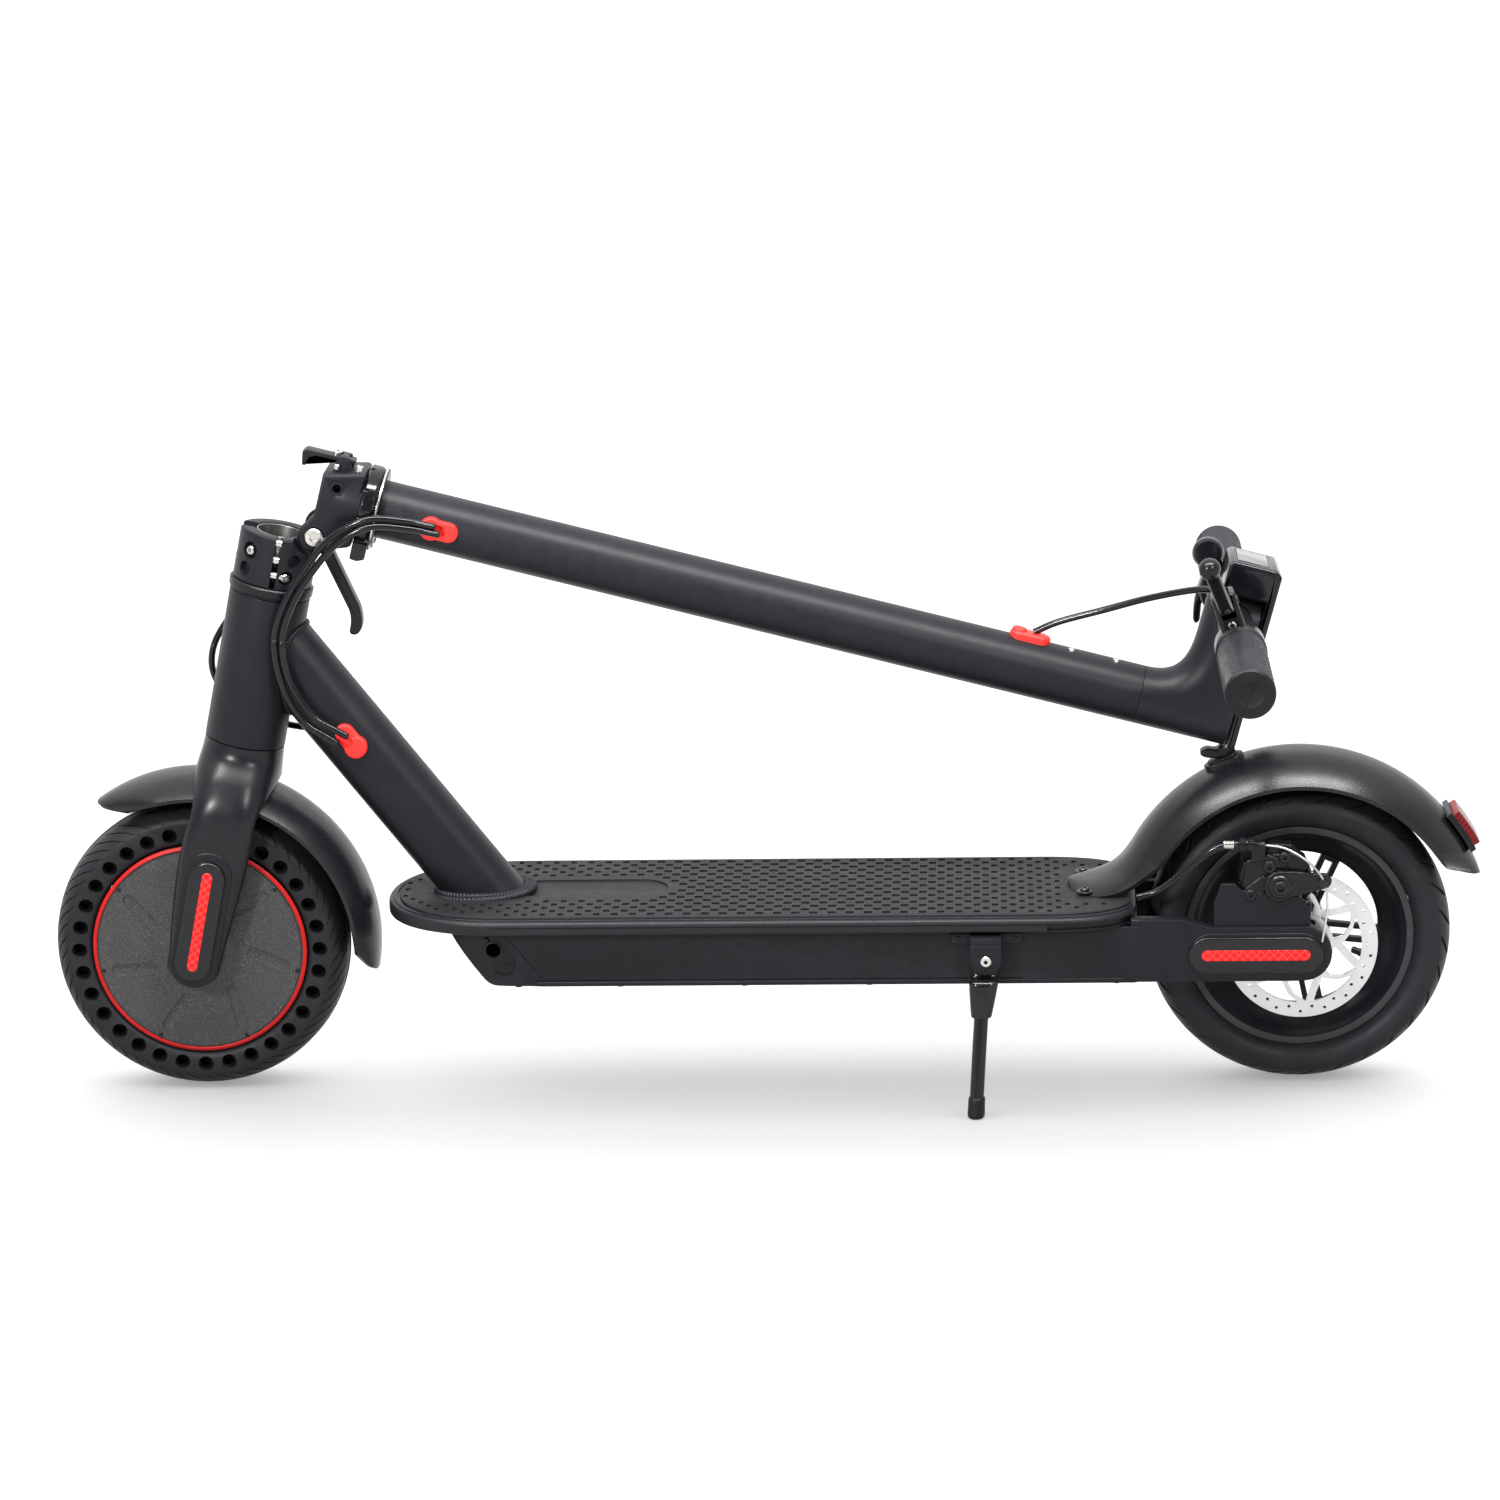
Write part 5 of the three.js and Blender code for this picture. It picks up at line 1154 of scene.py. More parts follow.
def lock_ring():
    """The glossy twist collar: a C-shaped ring with two ends beside the fold lever."""
    profile = rounded((21.2, 27.4, 0.3), (28.4, 27.4, 0.8), (30, 29, 0.7), (30, 35.6, 0.8), (28.6, 38, 0.7),
                      (21.2, 38, 0.3))
    collar = lathe("lock_ring", profile, STEM, "Z", 144, closed=True, centre=COLUMN)
    cut(collar, block("mouth", -26.4, 40, -14, 14, 20, 50, STEM, edge=0))
    for low, high in ((-18.6, -14), (14, 18.6)):
        ear = rounded((-3, 27.4, 0.5), (10.5, 27.4, 1.5), (11, 33, 2), (8.8, 38, 2), (-3, 38, 0.5))
        fuse(collar, plate("ear", ear, low, high, STEM, edge=0.8))
    for k in range(3):
        a = math.radians(195 + 40 * k)
        x, y = COLUMN[0] + 29.2 * math.cos(a), 29.2 * math.sin(a)
        cut(collar, round_bar("finger", 1.6, 20, 31, STEM, "Z", 20, centre=(x, y)))
    piece(collar, "lock_ring", "gloss_plastic", GLOSS, "lock_ring")
    flange = rounded((17.6, 38.7, 0.2), (29.2, 38.7, 0.3), (29.4, 40.6, 0.4), (28.2, 41.4, 0.3),
                     (17.6, 41.4, 0.2))
    band = lathe("stem_flange", flange, STEM, "Z", 128, closed=True, centre=COLUMN)
    cut(band, block("mouth", -4.9, 20, -8, 8, 30, 50, STEM, edge=0))
    piece(band, "stem", "black_alloy", ALLOY)
    edge = rounded((29.3, 38.9, 0.1), (29.9, 38.9, 0.2), (29.9, 40.3, 0.2), (29.3, 40.3, 0.1))
    bright = lathe("flange_edge", edge, STEM, "Z", 128, closed=True, centre=COLUMN)
    cut(bright, block("mouth", -4.9, 20, -8, 8, 30, 50, STEM, edge=0))
    piece(bright, "stem", "steel", ZINC)


# ---------------------------------------------------------------- stem
def stem_tube():
    profile = rounded((21, 40.2, 0), (21, 599.7, 0.35), (18.2, 599.7, 0), (18.2, 40.2, 0))
    column = lathe("stem_tube", profile, STEM, "Z", 128, closed=True, centre=COLUMN)
    piece(column, "stem", "black_paint", PAINT, "stem_tube")
    screws = []
    for s in (545, 578):
        place = STEM @ Matrix.Translation((COLUMN[0] - 20.6, -3.5, s)) @ FACE_BACK
        screws.append(cap_screw(2.5, 1.5, place))
    piece(join("stem_screws", screws), "stem", "steel", ZINC)
    side_place = STEM @ Matrix.Translation((COLUMN[0], 0, 86))
    grommet("stem_grommet_left", side_place, 20.4, -1, "stem", "stem_grommet_left", 90,
            (1.5, -90, 12, 8.6, 90))
    grommet("stem_grommet_right", side_place, 20.4, 1, "stem", "stem_grommet_right", 90,
            (1.5, -90, 12, 8.6, 90))
    top_place = STEM @ Matrix.Translation((COLUMN[0], 0, 514)) @ Matrix.Rotation(math.radians(-90), 4, "Z")
    shape = plate("stem_grommet_top", stadium(0, 0, 30, 15, 90, 16), -25.6, -15, top_place, edge=0,
                  low_edge=3, steps=6)
    piece(shape, "stem", "red_rubber", RED, "stem_grommet_top")
    lip = plate("stem_grommet_lip", stadium(0, -8.4, 11, 10.4, 90, 12), -27.4, -20, top_place, edge=0,
                low_edge=1.8,
                steps=4)
    piece(lip, "stem", "red_rubber", RED)


def stem_head():
    """The elbow that carries the handlebar: round at the stem, running up to a clamp."""
    outline = [(-5.4, 570), (-5.4, 689), (-118, 689), (-118, 640)] + \
        bezier((-118, 636), (-117, 628.5), (-106, 628.5), steps=6) + \
        bezier((-84, 628.5), (-56, 628.5), (-47.4, 620), (-47.4, 600.2), steps=14) + [(-47.4, 570)]
    rings = []
    levels = 28
    for i in range(1, levels):
        angle = math.pi * (i / levels - 0.5)
        shrink = 21 * (1 - math.cos(angle))
        line = inset(outline, shrink) if shrink > 1e-6 else outline
        rings.append([(t, 21 * math.sin(angle), s) for t, s in line])
    for end, last in ((0, rings[0]), (len(rings), rings[-1])):
        flat = inset([(t, s) for t, y, s in last], 0.8)
        rings.insert(end, [(t, last[0][1], s) for t, s in flat])
    elbow = skin("stem_head", rings, STEM)
    trim = plate("trim", [(-130, 599.95), (0, 599.95), (0, 667.4), (-130, 667.4)], -30, 30, STEM, edge=0)
    boolean(elbow, trim, "INTERSECT")
    plug = round_bar("plug", 17.6, 578, 604, STEM, "Z", 64, centre=COLUMN)
    fuse(elbow, plug)
    cut(elbow,
        round_bar("bar_hole", 13, -40, 40, BAR, segments=64),
        block("clamp_split", -130, -98.4, -40, 40, 649.9, 651.5, STEM, edge=0))
    piece(elbow, "stem", "black_paint", PAINT, "stem_head", smooth=50)
    place = STEM @ Matrix.Translation((-109, -17.2, 640)) @ FACE_LEFT
    piece(cap_screw(4.2, 3.4, place), "stem", "steel", ZINC)


def dash():
    outline = rounded((-8, 668.4, 0.4), (-8, 671.5, 1.2), (-12, 674.5, 1.5), (-139, 674.5, 2.2),
                      (-143, 670, 2.2),
                      (-143, 638, 2), (-140, 635.6, 1.5), (-118.5, 635.6, 0.5), (-118.5, 668.4, 0))
    shell = plate("dash_cover", outline, -24, 24, STEM, edge=2.4, steps=5)
    cut(shell, round_bar("well", 8.3, 660, 680, STEM, "Z", 48, centre=(-60, 0)),
        block("seam", -200, 20, -40, -23.4, 671.2, 671.7, STEM, edge=0),
        block("seam", -200, 20, 23.4, 40, 671.2, 671.7, STEM, edge=0),
        block("recess", -136, -76, -17.5, 17.5, 673.9, 680, STEM, edge=0.2),
        block("lens_recess", -150, -142.3, -17.5, 17.5, 641, 664, STEM, edge=0.2))
    piece(shell, "stem", "gloss_plastic", GLOSS, "dash_cover")
    glass = block("dash_glass", -135.6, -76.4, -17.2, 17.2, 673, 674.3, STEM, edge=0.25)
    piece(glass, "stem", "gloss_plastic", GLASS)
    lens = block("headlight_lens", -143.6, -141.8, -17.2, 17.2, 641.3, 663.7, STEM, edge=0.5)
    piece(lens, "stem", "gloss_plastic", LAMP)
    button = lathe("power_button", [(0, 670), (7.9, 670), (7.9, 674.6), (7.2, 675.3), (5.6, 675.1),
                                    (0, 674.9)], STEM, "Z",
                   48, centre=(-60, 0))
    piece(button, "power_button", "black_plastic", PLASTIC, "power_button")


def handlebar():
    profile = rounded((10.5, -205, 0.3), (12.7, -205, 0.3), (12.7, 205, 0.3), (10.5, 205, 0.3))
    bar = lathe("handlebar", profile, BAR, segments=64, closed=True)
    piece(bar, "stem", "black_paint", PAINT, "handlebar")
    for side, name in ((-1, "left"), (1, "right")):
        grip(side, name)


def grip(side, name):
    """A rubber grip with rows of fine dots, a smooth palm band and a seam."""
    profile = [(0, 206), (13, 206), (13, 100.3), (16.4, 100), (17.6, 100.6), (18.1, 102), (18.1, 104.4),
               (17.2, 105.2),
               (16.9, 106.4), (16.9, 205.6), (17.3, 206.4), (17.5, 208.6), (17.3, 210.6), (16, 211.9),
               (9, 212.2),
               (8.6, 211.9), (0, 211.9)]
    sleeve = lathe("grip_" + name, [(r, side * y) for r, y in profile], BAR, segments=96)
    piece(sleeve, "stem", "grip_rubber", GRIP, "grip_" + name)
    verts, faces = [], []
    rows, around = 32, 46
    for i in range(rows):
        y = side * (109.5 + i * 3.05)
        for j in range(around):
            angle = 360 * (j + 0.5 * (i % 2)) / around
            if SMOOTH_PALM[0] < angle % 180 < SMOOTH_PALM[1]:
                continue
            base = len(verts)
            a = math.radians(angle)
            centre = Vector((16.7 * math.cos(a), y, 16.7 * math.sin(a)))
            out = Vector((math.cos(a), 0, math.sin(a)))
            tangent = Vector((-math.sin(a), 0, math.cos(a)))
            for lift, wide in ((-0.3, 0.95), (0.75, 0.7)):
                for u, v in ((-1, -1), (1, -1), (1, 1), (-1, 1)):
                    verts.append(centre + out * lift + tangent * (u * wide) + Vector((0, v * wide, 0)))
            faces += [tuple(base + k for k in f) for f in ((0, 3, 2, 1), (4, 5, 6, 7), (0, 1, 5, 4),
                                                           (1, 2, 6, 5),
                                                           (2, 3, 7, 6), (3, 0, 4, 7))]
    dots = solid("grip_dots_" + name, verts, faces, BAR)
    piece(dots, "stem", "grip_rubber", GRIP_DOTS_HIGHLIT, smooth=20)
    for turn in (0, 180):
        place = BAR @ Matrix.Rotation(math.radians(GRIP_SEAM + turn), 4, "Y")
        line = [Vector((16.85, side * y, 0)) for y in (107, 130, 160, 190, 205)]
        line += [Vector((17.35, side * 208.5, 0)), Vector((16.6, side * 211.2, 0)),
                 Vector((15, side * 212.1, 0)),
                 Vector((8, side * 212.1, 0)), Vector((0.3, side * 212.0, 0))]
        seam = tube("grip_seam", line, 0.32, place, sides=8, steps=3)
        piece(seam, "stem", "grip_rubber", GRIP)


SMOOTH_PALM = (62, 104)
GRIP_SEAM = 8


# ---------------------------------------------------------------- brake lever, throttle and bell
def brake_controls():
    clamp = lathe("brake_lever_bracket", rounded((13, -98, 0.3), (17.8, -98, 1.2), (17.8, -80, 1.2),
                                                 (13, -80, 0.3)),
                  LEVER, segments=72, closed=True)
    arm = block("arm", 13.5, 42, -97.5, -76, -8.5, 8.5, LEVER, edge=2.6, steps=4)
    cut(arm, round_bar("clear", 15.5, -120, -60, LEVER, segments=64))
    fuse(clamp, arm)
    cylinder = LEVER @ Matrix.Translation((30, -60, 0)) @ FACE_LEFT
    barrel = [(0, 0), (3, 0), (3.4, 0.6), (3.4, 2.6), (4.6, 3), (4.6, 7), (4, 7.4), (4, 8.6), (4.6, 9),
              (4.6, 13), (5, 13.5),
              (5, 20), (0, 20)]
    fuse(clamp, lathe("adjuster", barrel, cylinder, "Z", 32))
    cut(clamp,
        block("blade_room", 24.5, 60, -120, -79.5, -5, 5, LEVER, edge=0.4),
        round_bar("pin", 3.3, -20, 20, LEVER, "Z", 32, centre=LEVER_PIN))
    piece(clamp, "stem", "black_alloy", ALLOY, "brake_lever_bracket")
    outline = arc(*LEVER_PIN, 7, 10, 180, 18) + \
        bezier((28.6, -101), (34, -118), (48, -146), (78.6, -178.6), steps=20) + \
        bezier((85.6, -183), (66, -152), (50, -126), (41, -99), steps=20)
    blade = plate("brake_lever", outline, -4.9, 4.9, LEVER, edge=2.2, plane="XY", steps=5)
    ball = lathe("ball", [(7.4 * math.sin(math.pi * k / 16), -7.4 * math.cos(math.pi * k / 16))
                          for k in range(17)],
                 LEVER @ Matrix.Translation((84, -182, 0)), "Z", 32)
    fuse(blade, ball)
    fuse(blade, lathe("pin", [(0, -9.6), (2.6, -9.6), (3, -9.2), (3, 9.2), (2.6, 9.6), (0, 9.6)], LEVER, "Z",
                      32,
                      centre=LEVER_PIN))
    piece(blade, "brake_lever", "black_alloy", ALLOY, "brake_lever", smooth=50)
    place = LEVER @ Matrix.Translation((19.6, -97.4, 0)) @ FACE_LEFT
    piece(cap_screw(2.8, 2.0, place), "stem", "steel", ZINC)


def throttle():
    profile = rounded((13, 74, 0.3), (19.4, 74, 1.6), (20.5, 77, 0.8), (20.5, 85.6, 0.8), (19.6, 88, 0.8),
                      (13, 88, 0.3))
    piece(lathe("throttle_housing", profile, BAR, segments=96, closed=True), "stem", "black_plastic", PLASTIC,
          "throttle_housing")
    hub = lathe("throttle_paddle", rounded((13, 88.4, 0.3), (17, 88.4, 0.5), (17, 98, 0.8), (13, 98, 0.3)),
                BAR,
                segments=72, closed=True)
    tab = [(-8, -13)] + bezier((-6, -18.4), (10, -22.6), (30, -17.2), steps=12) + \
        bezier((32.4, -15.4), (32.4, -12.4), (28, -12.4), steps=6) + \
        bezier((18, -14.2), (12, -13.6), (8, -12.4), steps=8)
    thumb = plate("thumb", tab, 88.6, 99.6, BAR, edge=1.2, steps=3)
    fuse(hub, thumb)
    cut(hub, round_bar("bore", 13, 60, 110, BAR, segments=64))
    piece(hub, "throttle_paddle", "gloss_plastic", GLOSS, "throttle_paddle")


def bell():
    band = lathe("bell", rounded((13, 46, 0.3), (16.4, 46, 0.8), (16.4, 58, 0.8), (13, 58, 0.3)), BAR,
                 segments=72,
                 closed=True)
    stalk = rounded((-100, 640, 1), (-124, 622, 1.5), (-134, 630, 1.5), (-106, 656, 1))
    arm = plate("stalk", stalk, 49, 55, STEM, edge=0.8)
    cut(arm, round_bar("clear", 15, 40, 64, BAR, segments=48))
    fuse(band, arm)
    dome = [(0, -6.4), (9.6, -6.4), (11.2, -4.4), (11.5, -1.6), (10.6, 3.2), (8, 6.8), (4.2, 8.8), (0, 9.3)]
    curve = [tuple(p)[:2] for p in smooth_path([(r, h, 0) for r, h in dome[2:]], 4)]
    cap = lathe("dome", dome[:2] + curve, STEM @ Matrix.Translation((-127.5, 55, 627)), "Y", 48)
    fuse(band, cap)
    piece(band, "stem", "gloss_plastic", GLOSS, "bell")


# ---------------------------------------------------------------- deck
DECK_NOSE, DECK_TAIL = 138.5, 683
DECK_LOW, DECK_TOP = 133, 143
DECK_HALF = 75
TRAY_HALF = 62
RAIL_DEPTH = 3.4


def deck():
    outline = plan(DECK_NOSE, DECK_TAIL, DECK_HALF, 95, (64, 34))
    board = plate("deck_plate", outline, DECK_LOW, DECK_TOP, ROAD, edge=3.2, low_edge=1.6, plane="XY",
                  steps=5)
    rail_slots = []
    for side in (-1, 1):
        for z0, z1, x0, x1, depth in ((138.4, 139.3, 219, 617, 0.8), (133, 142, 216.6, 217.4, 0.7),
                                      (134.5, 141, 617.4, 618.1, 0.7)):
            y = sorted((side * (DECK_HALF - depth), side * (DECK_HALF + 5)))
            rail_slots.append(block("slot", x0, x1, *y, z0, z1, ROAD, edge=0.15))
    for slot_block in rail_slots:
        cut(board, slot_block)
    undercut = plate("undercut", [(618, -90), (700, -90), (700, 90), (618, 90)], 134.2, 139.6, ROAD, edge=0,
                     plane="XY")
    core = plate("core", inset(outline, RAIL_DEPTH), 130, 145, ROAD, edge=0, plane="XY")
    cut(board, cut(undercut, core))
    piece(board, "frame", "black_paint", RAIL_PAINT, "deck_plate", smooth=30)
    line = plate("deck_line", inset(outline, RAIL_DEPTH), 142.4, 143.9, ROAD, edge=0.7, low_edge=0,
                 plane="XY", steps=3)
    cut(line, plate("inside", inset(outline, 6.2), 140, 146, ROAD, edge=0, plane="XY"))
    piece(line, "frame", "black_paint", PAINT)
    mat()
    tray()


def mat():
    """The ribbed foot mat: staggered rectangular pockets round a smooth island behind the tube."""
    top = 145.4
    outline = plan(DECK_NOSE + 8, DECK_TAIL - 5, DECK_HALF - 6, 88, (62, 32))
    sheet = plate("foot_mat", outline, 143.3, top, ROAD, edge=1.1, low_edge=0, plane="XY", steps=4)
    cut(sheet, plate("island", stadium(287, 0, 112, 40), top - 1.5, 150, ROAD, edge=0.3, plane="XY"))
    cut(sheet, plate("foot", stadium(209.8, 0, 70, 52), 140, 150, ROAD, edge=0, plane="XY"))
    pockets = []
    pitch_x, pitch_y = 13.0, 7.8
    for row in range(-8, 9):
        y = row * pitch_y
        shift = pitch_x / 2 * (row % 2)
        for column in range(46):
            x = 152 + column * pitch_x + shift
            if x > 668:
                continue
            nose = max(0.0, (234.5 - x) / 88)
            half = 62.5 * math.sqrt(max(0, 1 - nose ** 2.2))
            tail = max(0.0, (x - 616) / 62)
            half = min(half, 62.5 * math.sqrt(max(0, 1 - tail ** 2.6)) if tail > 0 else half)
            if abs(y) > half:
                continue
            if foot_distance(x, y) < 0 or fender_foot(x, y):
                continue
            middle = 1 - min(1, abs(x - 430) / 230)
            long = 3.2 + 2.8 * min(1, middle * 1.4)
            pockets.append(block_xy(x, y, long, 4.9, top - 1.7, top + 2))
    cut(sheet, join("pockets", pockets))
    piece(sheet, "frame", "mat_rubber", MAT, "foot_mat", smooth=30)


def foot_distance(x, y):
    """Negative inside the smooth places of the mat: round the tube's foot and its long island."""
    tube_gap = math.hypot(max(abs(x - 207) - 17, 0), y) - 36
    island = math.hypot(max(abs(x - 287) - 36, 0), y) - 25.5
    return min(tube_gap, island)


def fender_foot(x, y):
    return x > 628 and abs(y) < 42


def block_xy(x, y, long, wide, low, high):
    return plate("pocket", rounded((x - long / 2, y - wide / 2, 0.7), (x + long / 2, y - wide / 2, 0.7),
                                   (x + long / 2, y + wide / 2, 0.7), (x - long / 2, y + wide / 2, 0.7),
                                   steps=2),
                 low, high, ROAD, edge=0, plane="XY")


ARM_END = arc(801, 111.6, 20.4, -90, 52, 24) + bezier((806, 131.4), (790, 131), (762, 131), steps=6) + [
    (735, 131), (716, 137), (712, 137.2)]


def tray():
    """The battery tray, with its slanted nose, side groove, bottom lip and charging recess."""
    side = rounded((178, 132.8, 0), (677, 132.8, 0), (677, 91, 1.5), (216, 91, 14), steps=8)
    body = plate("deck_tray", side, -TRAY_HALF, TRAY_HALF, ROAD, edge=0)
    top_view = plate("top_view", plan(178, 677.2, TRAY_HALF, 60, (6, 6)), 80, 140, ROAD, edge=0, plane="XY")
    boolean(body, top_view, "INTERSECT")
    inner_side = [(190, 140), (673, 140), (673, 94), (222, 94)]
    inner = plate("inner", inner_side, -58.6, 58.6, ROAD, edge=0)
    boolean(inner, plate("inner_top", plan(183, 673, 58.6, 56, (4, 4)), 80, 150, ROAD, edge=0, plane="XY"),
            "INTERSECT")
    cut(body, inner)
    for sign in (-1, 1):
        y = sorted((sign * 61.2, sign * 70))
        cut(body, block("groove", 250, 680, *y, 94.6, 95.5, ROAD, edge=0.1))
        seam = [(225.6, 133), (226.4, 133), (257.4, 92.8), (256.6, 92.8)]
        cut(body, plate("seam", seam, *sorted((sign * 61.3, sign * 70)), ROAD, edge=0))
        y = sorted((sign * 49.7, sign * 58.9))
        cut(body, block("arm_slot", 640, 690, *y, 94, 150, ROAD, edge=0))
        skin_plate = [(600, 91), (801, 91)] + ARM_END + [(686, 137.2), (684, 132.6), (600, 132.6)]
        near, far = sorted((sign * 60.15, sign * TRAY_HALF))
        fuse(body, plate("skin_plate", skin_plate, near, far, ROAD, edge=0.3 if sign > 0 else 0,
                         low_edge=0.3 if sign < 0 else 0))
    recess = stadium(221, 115.7, 37, 17.5, -52, 16)
    cut(body, plate("recess", recess, -70, -59.8, ROAD, edge=0.4))
    hole_x, hole_z = 219.4, 117.6
    cut(body, round_bar("socket", 5.4, -66, -50, ROAD, segments=48,
                    centre=(hole_x, hole_z)))
    piece(body, "frame", "black_paint", PAINT, "deck_tray", smooth=30)
    rim = lathe("charge_rim", [(5.5, -60.4), (5.9, -60.7), (6.6, -60.5), (6.8, -59.6), (5.5, -59.6)], ROAD,
                segments=48,
                closed=True, centre=(hole_x, hole_z))
    piece(rim, "frame", "black_plastic", PLASTIC)
    pair = []
    for along in (-11.5, 12.5):
        x, z = spun(221, 115.7, along, -52)
        pair.append(screw(x, -59.7, z, 2.1, 1.0, -1, ROAD))
    piece(join("charge_screws", pair), "frame", "black_alloy", ALLOY)
    lip = plate("tray_lip", plan(246, 676, TRAY_HALF + 0.9, 4, (6, 6)), 91.3, 94.2, ROAD, edge=0.6,
                plane="XY")
    cut(lip, plate("lip_inside", plan(240, 690, 61.8, 4, (6, 6)), 88, 99, ROAD, edge=0, plane="XY"))
    piece(lip, "frame", "black_paint", PAINT)
    cover = plate("bottom_cover", plan(216, 685, 56, 40, (6, 6)), 88.3, 90.7, ROAD, edge=0.8, plane="XY")
    heads = []
    for x in (236, 310, 400, 490, 580, 668):
        for y in (-50, 50):
            heads.append(lathe("head", [(0, 86.9), (2.6, 86.9), (3.2, 87.6), (3.2, 88.8), (0, 88.8)], ROAD,
                               "Z", 20,
                               centre=(x, y)))
    piece(cover, "frame", "black_plastic", PLASTIC, "bottom_cover")
    piece(join("cover_screws", heads), "frame", "black_alloy", ALLOY)


# ---------------------------------------------------------------- rear arms
def rear_arms():
    for side, name in ((-1, "left"), (1, "right")):
        outline = [(678, 91.2), (801, 91.2)] + ARM_END + [(678, 137.2)]
        if side > 0:
            outline = [(678, 91.2), (801, 91.2)] + arc(801, 111.6, 20.4, -90, 90, 24) + [(735, 132),
                (678, 132)]
        near, far = sorted((side * 50, side * 60))
        arm = plate("rear_arm_" + name, outline, near, far, ROAD, edge=1.4, steps=4)
        near, far = sorted((side * 50, side * 58.3))
        fuse(arm, block("tongue", 645, 690, near, far, 95, 127, ROAD, edge=0.5))
        if side < 0:
            plate_outline = rounded((737, 128, 0), (806, 128, 0), (806, 146, 2), (797, 153, 3), (757, 158, 3),
                                    (752, 163, 2), (742, 163, 2), (737, 148, 2))
            fuse(arm, plate("caliper_plate", plate_outline, -58.4, -54, ROAD, edge=0.8))
        y = sorted((side * 47, side * 59.2))
        cut(arm, round_bar("axle_hole", 6.3, y[0], y[1], REAR, segments=40))
        y = sorted((side * 54, side * 62))
        cut(arm, round_bar("nut_pocket", 11, y[0], y[1], REAR, segments=40))
        piece(arm, "frame", "black_paint", PAINT, "rear_arm_" + name)
        layers = (("bezel", 767, 110.6, 97, 33.5, 61.8, 63.2, PLASTIC, "black_plastic", 0.8),
                  ("cover", 767, 111.4, 96, 27, 62.9, 65.6, GLOSS_COVER, "black_plastic", 1.4),
                  ("strip", 767, 111.6, 77.5, 7.8, 65, 66.1, REFLECTOR, "red_rubber", 0.4))
        for label, x, z, length, width, low, high, material, slot, edge in layers:
            y = sorted((side * low, side * high))
            low_edge, high_edge = (edge, 0) if side < 0 else (0, edge)
            layer = plate("arm_" + label + "_" + name, stadium(x, z, length, width, 0, 20), *y, ROAD,
                          edge=high_edge,
                          low_edge=low_edge, steps=4)
            piece(layer, "frame", slot, material)


# ---------------------------------------------------------------- rear mudguard, light and latch
def fender_spine():
    """(x, z, outward direction, half width, drop) along the mudguard from its tip to the deck."""
    rows = []
    for i in range(61):
        angle = 18 + (150 - 18) * i / 60
        x, z = spun(801, 110, 138, angle)
        rows.append((x, z, math.cos(math.radians(angle)), math.sin(math.radians(angle)), 38.0, 19.0))
    end_x, end_z = spun(801, 110, 138, 150)
    points = bezier((end_x, end_z), (672.5, 164), (664, 151.6), (634, 150.6), steps=26)
    for i in range(1, 27):
        p = Vector(points[i])
        ahead = Vector(points[min(i + 1, 26)]) - Vector(points[i - 1])
        out = Vector((ahead.y, -ahead.x)).normalized()
        if out.y < 0:
            out = -out
        t = i / 26
        half = (38 - 5 * t) * math.sqrt(max(0.012, 1 - (max(0, t - 0.62) / 0.38) ** 2.2))
        drop = 19 - 14.5 * t ** 0.8
        rows.append((p.x, p.y, out.x, out.y, half, drop))
    return rows


def rear_fender():
    across = 26
    rings = []
    spine = fender_spine()
    total = len(spine)
    for i, (x, z, ox, oz, half, drop) in enumerate(spine):
        narrow = 1 - 0.5 * max(0, (0.07 - i / total) / 0.07) ** 2
        line = []
        for r, y, f in guard_loop(0, half * narrow, drop, 2.8, across):
            lean = 0.0
            if i < 12:
                lean = (12 - i) / 12 * abs(f) ** 2.2 * 15
            px, pz = x + ox * r, z + oz * r
            px += oz * -lean
            pz += -ox * -lean
            if x < 690:
                pz = max(pz, 145.7 + (0.05 if r > -drop else 0))
            line.append((px, y, pz))
        rings.append(line)
    guard = skin("rear_fender", rings, ROAD)
    piece(guard, "frame", "black_plastic", FENDER, "rear_fender", smooth=50)
    seat = [lathe("seat", [(0, 0), (6.4, 0), (6.4, 0.6), (5.8, 1.1), (0, 1.1)],
                  ROAD @ Matrix.Translation((646, y, 147.3)),
                  "Z", 32) for y in (-24, 24)]
    piece(join("fender_washers", seat), "frame", "black_plastic", FENDER)
    heads = [cap_screw(3.2, 1.9, ROAD @ Matrix.Translation((646, y, 148.3))) for y in (-24, 24)]
    piece(join("fender_screws", heads), "frame", "black_alloy", ALLOY)
    tail_light()
    latch()


def swept(name, section, start, end, place, steps=24):
    """A closed (radius, y) outline carried round the rear axle between two angles."""
    rings = []
    for i in range(steps + 1):
        a = math.radians(start + (end - start) * i / steps)
        rings.append([(r * math.cos(a), y, r * math.sin(a)) for r, y in section])
    return skin(name, rings, place)


def tail_light():
    base = rounded((137.5, -19, 0.5), (137.5, 19, 0.5), (141.8, 17.6, 1.6), (141.8, -17.6, 1.6))
    shell = swept("tail_light_base", base, 27.2, 40.6, REAR)
    piece(shell, "frame", "black_plastic", FENDER)
    lens = rounded((141.2, -16.6, 0.4), (141.2, 16.6, 0.4), (146.6, 15.2, 2), (146.6, -15.2, 2))
    glass = swept("tail_light", lens, 28.4, 39.4, REAR)
    piece(glass, "frame", "red_lens", LENS, "tail_light")


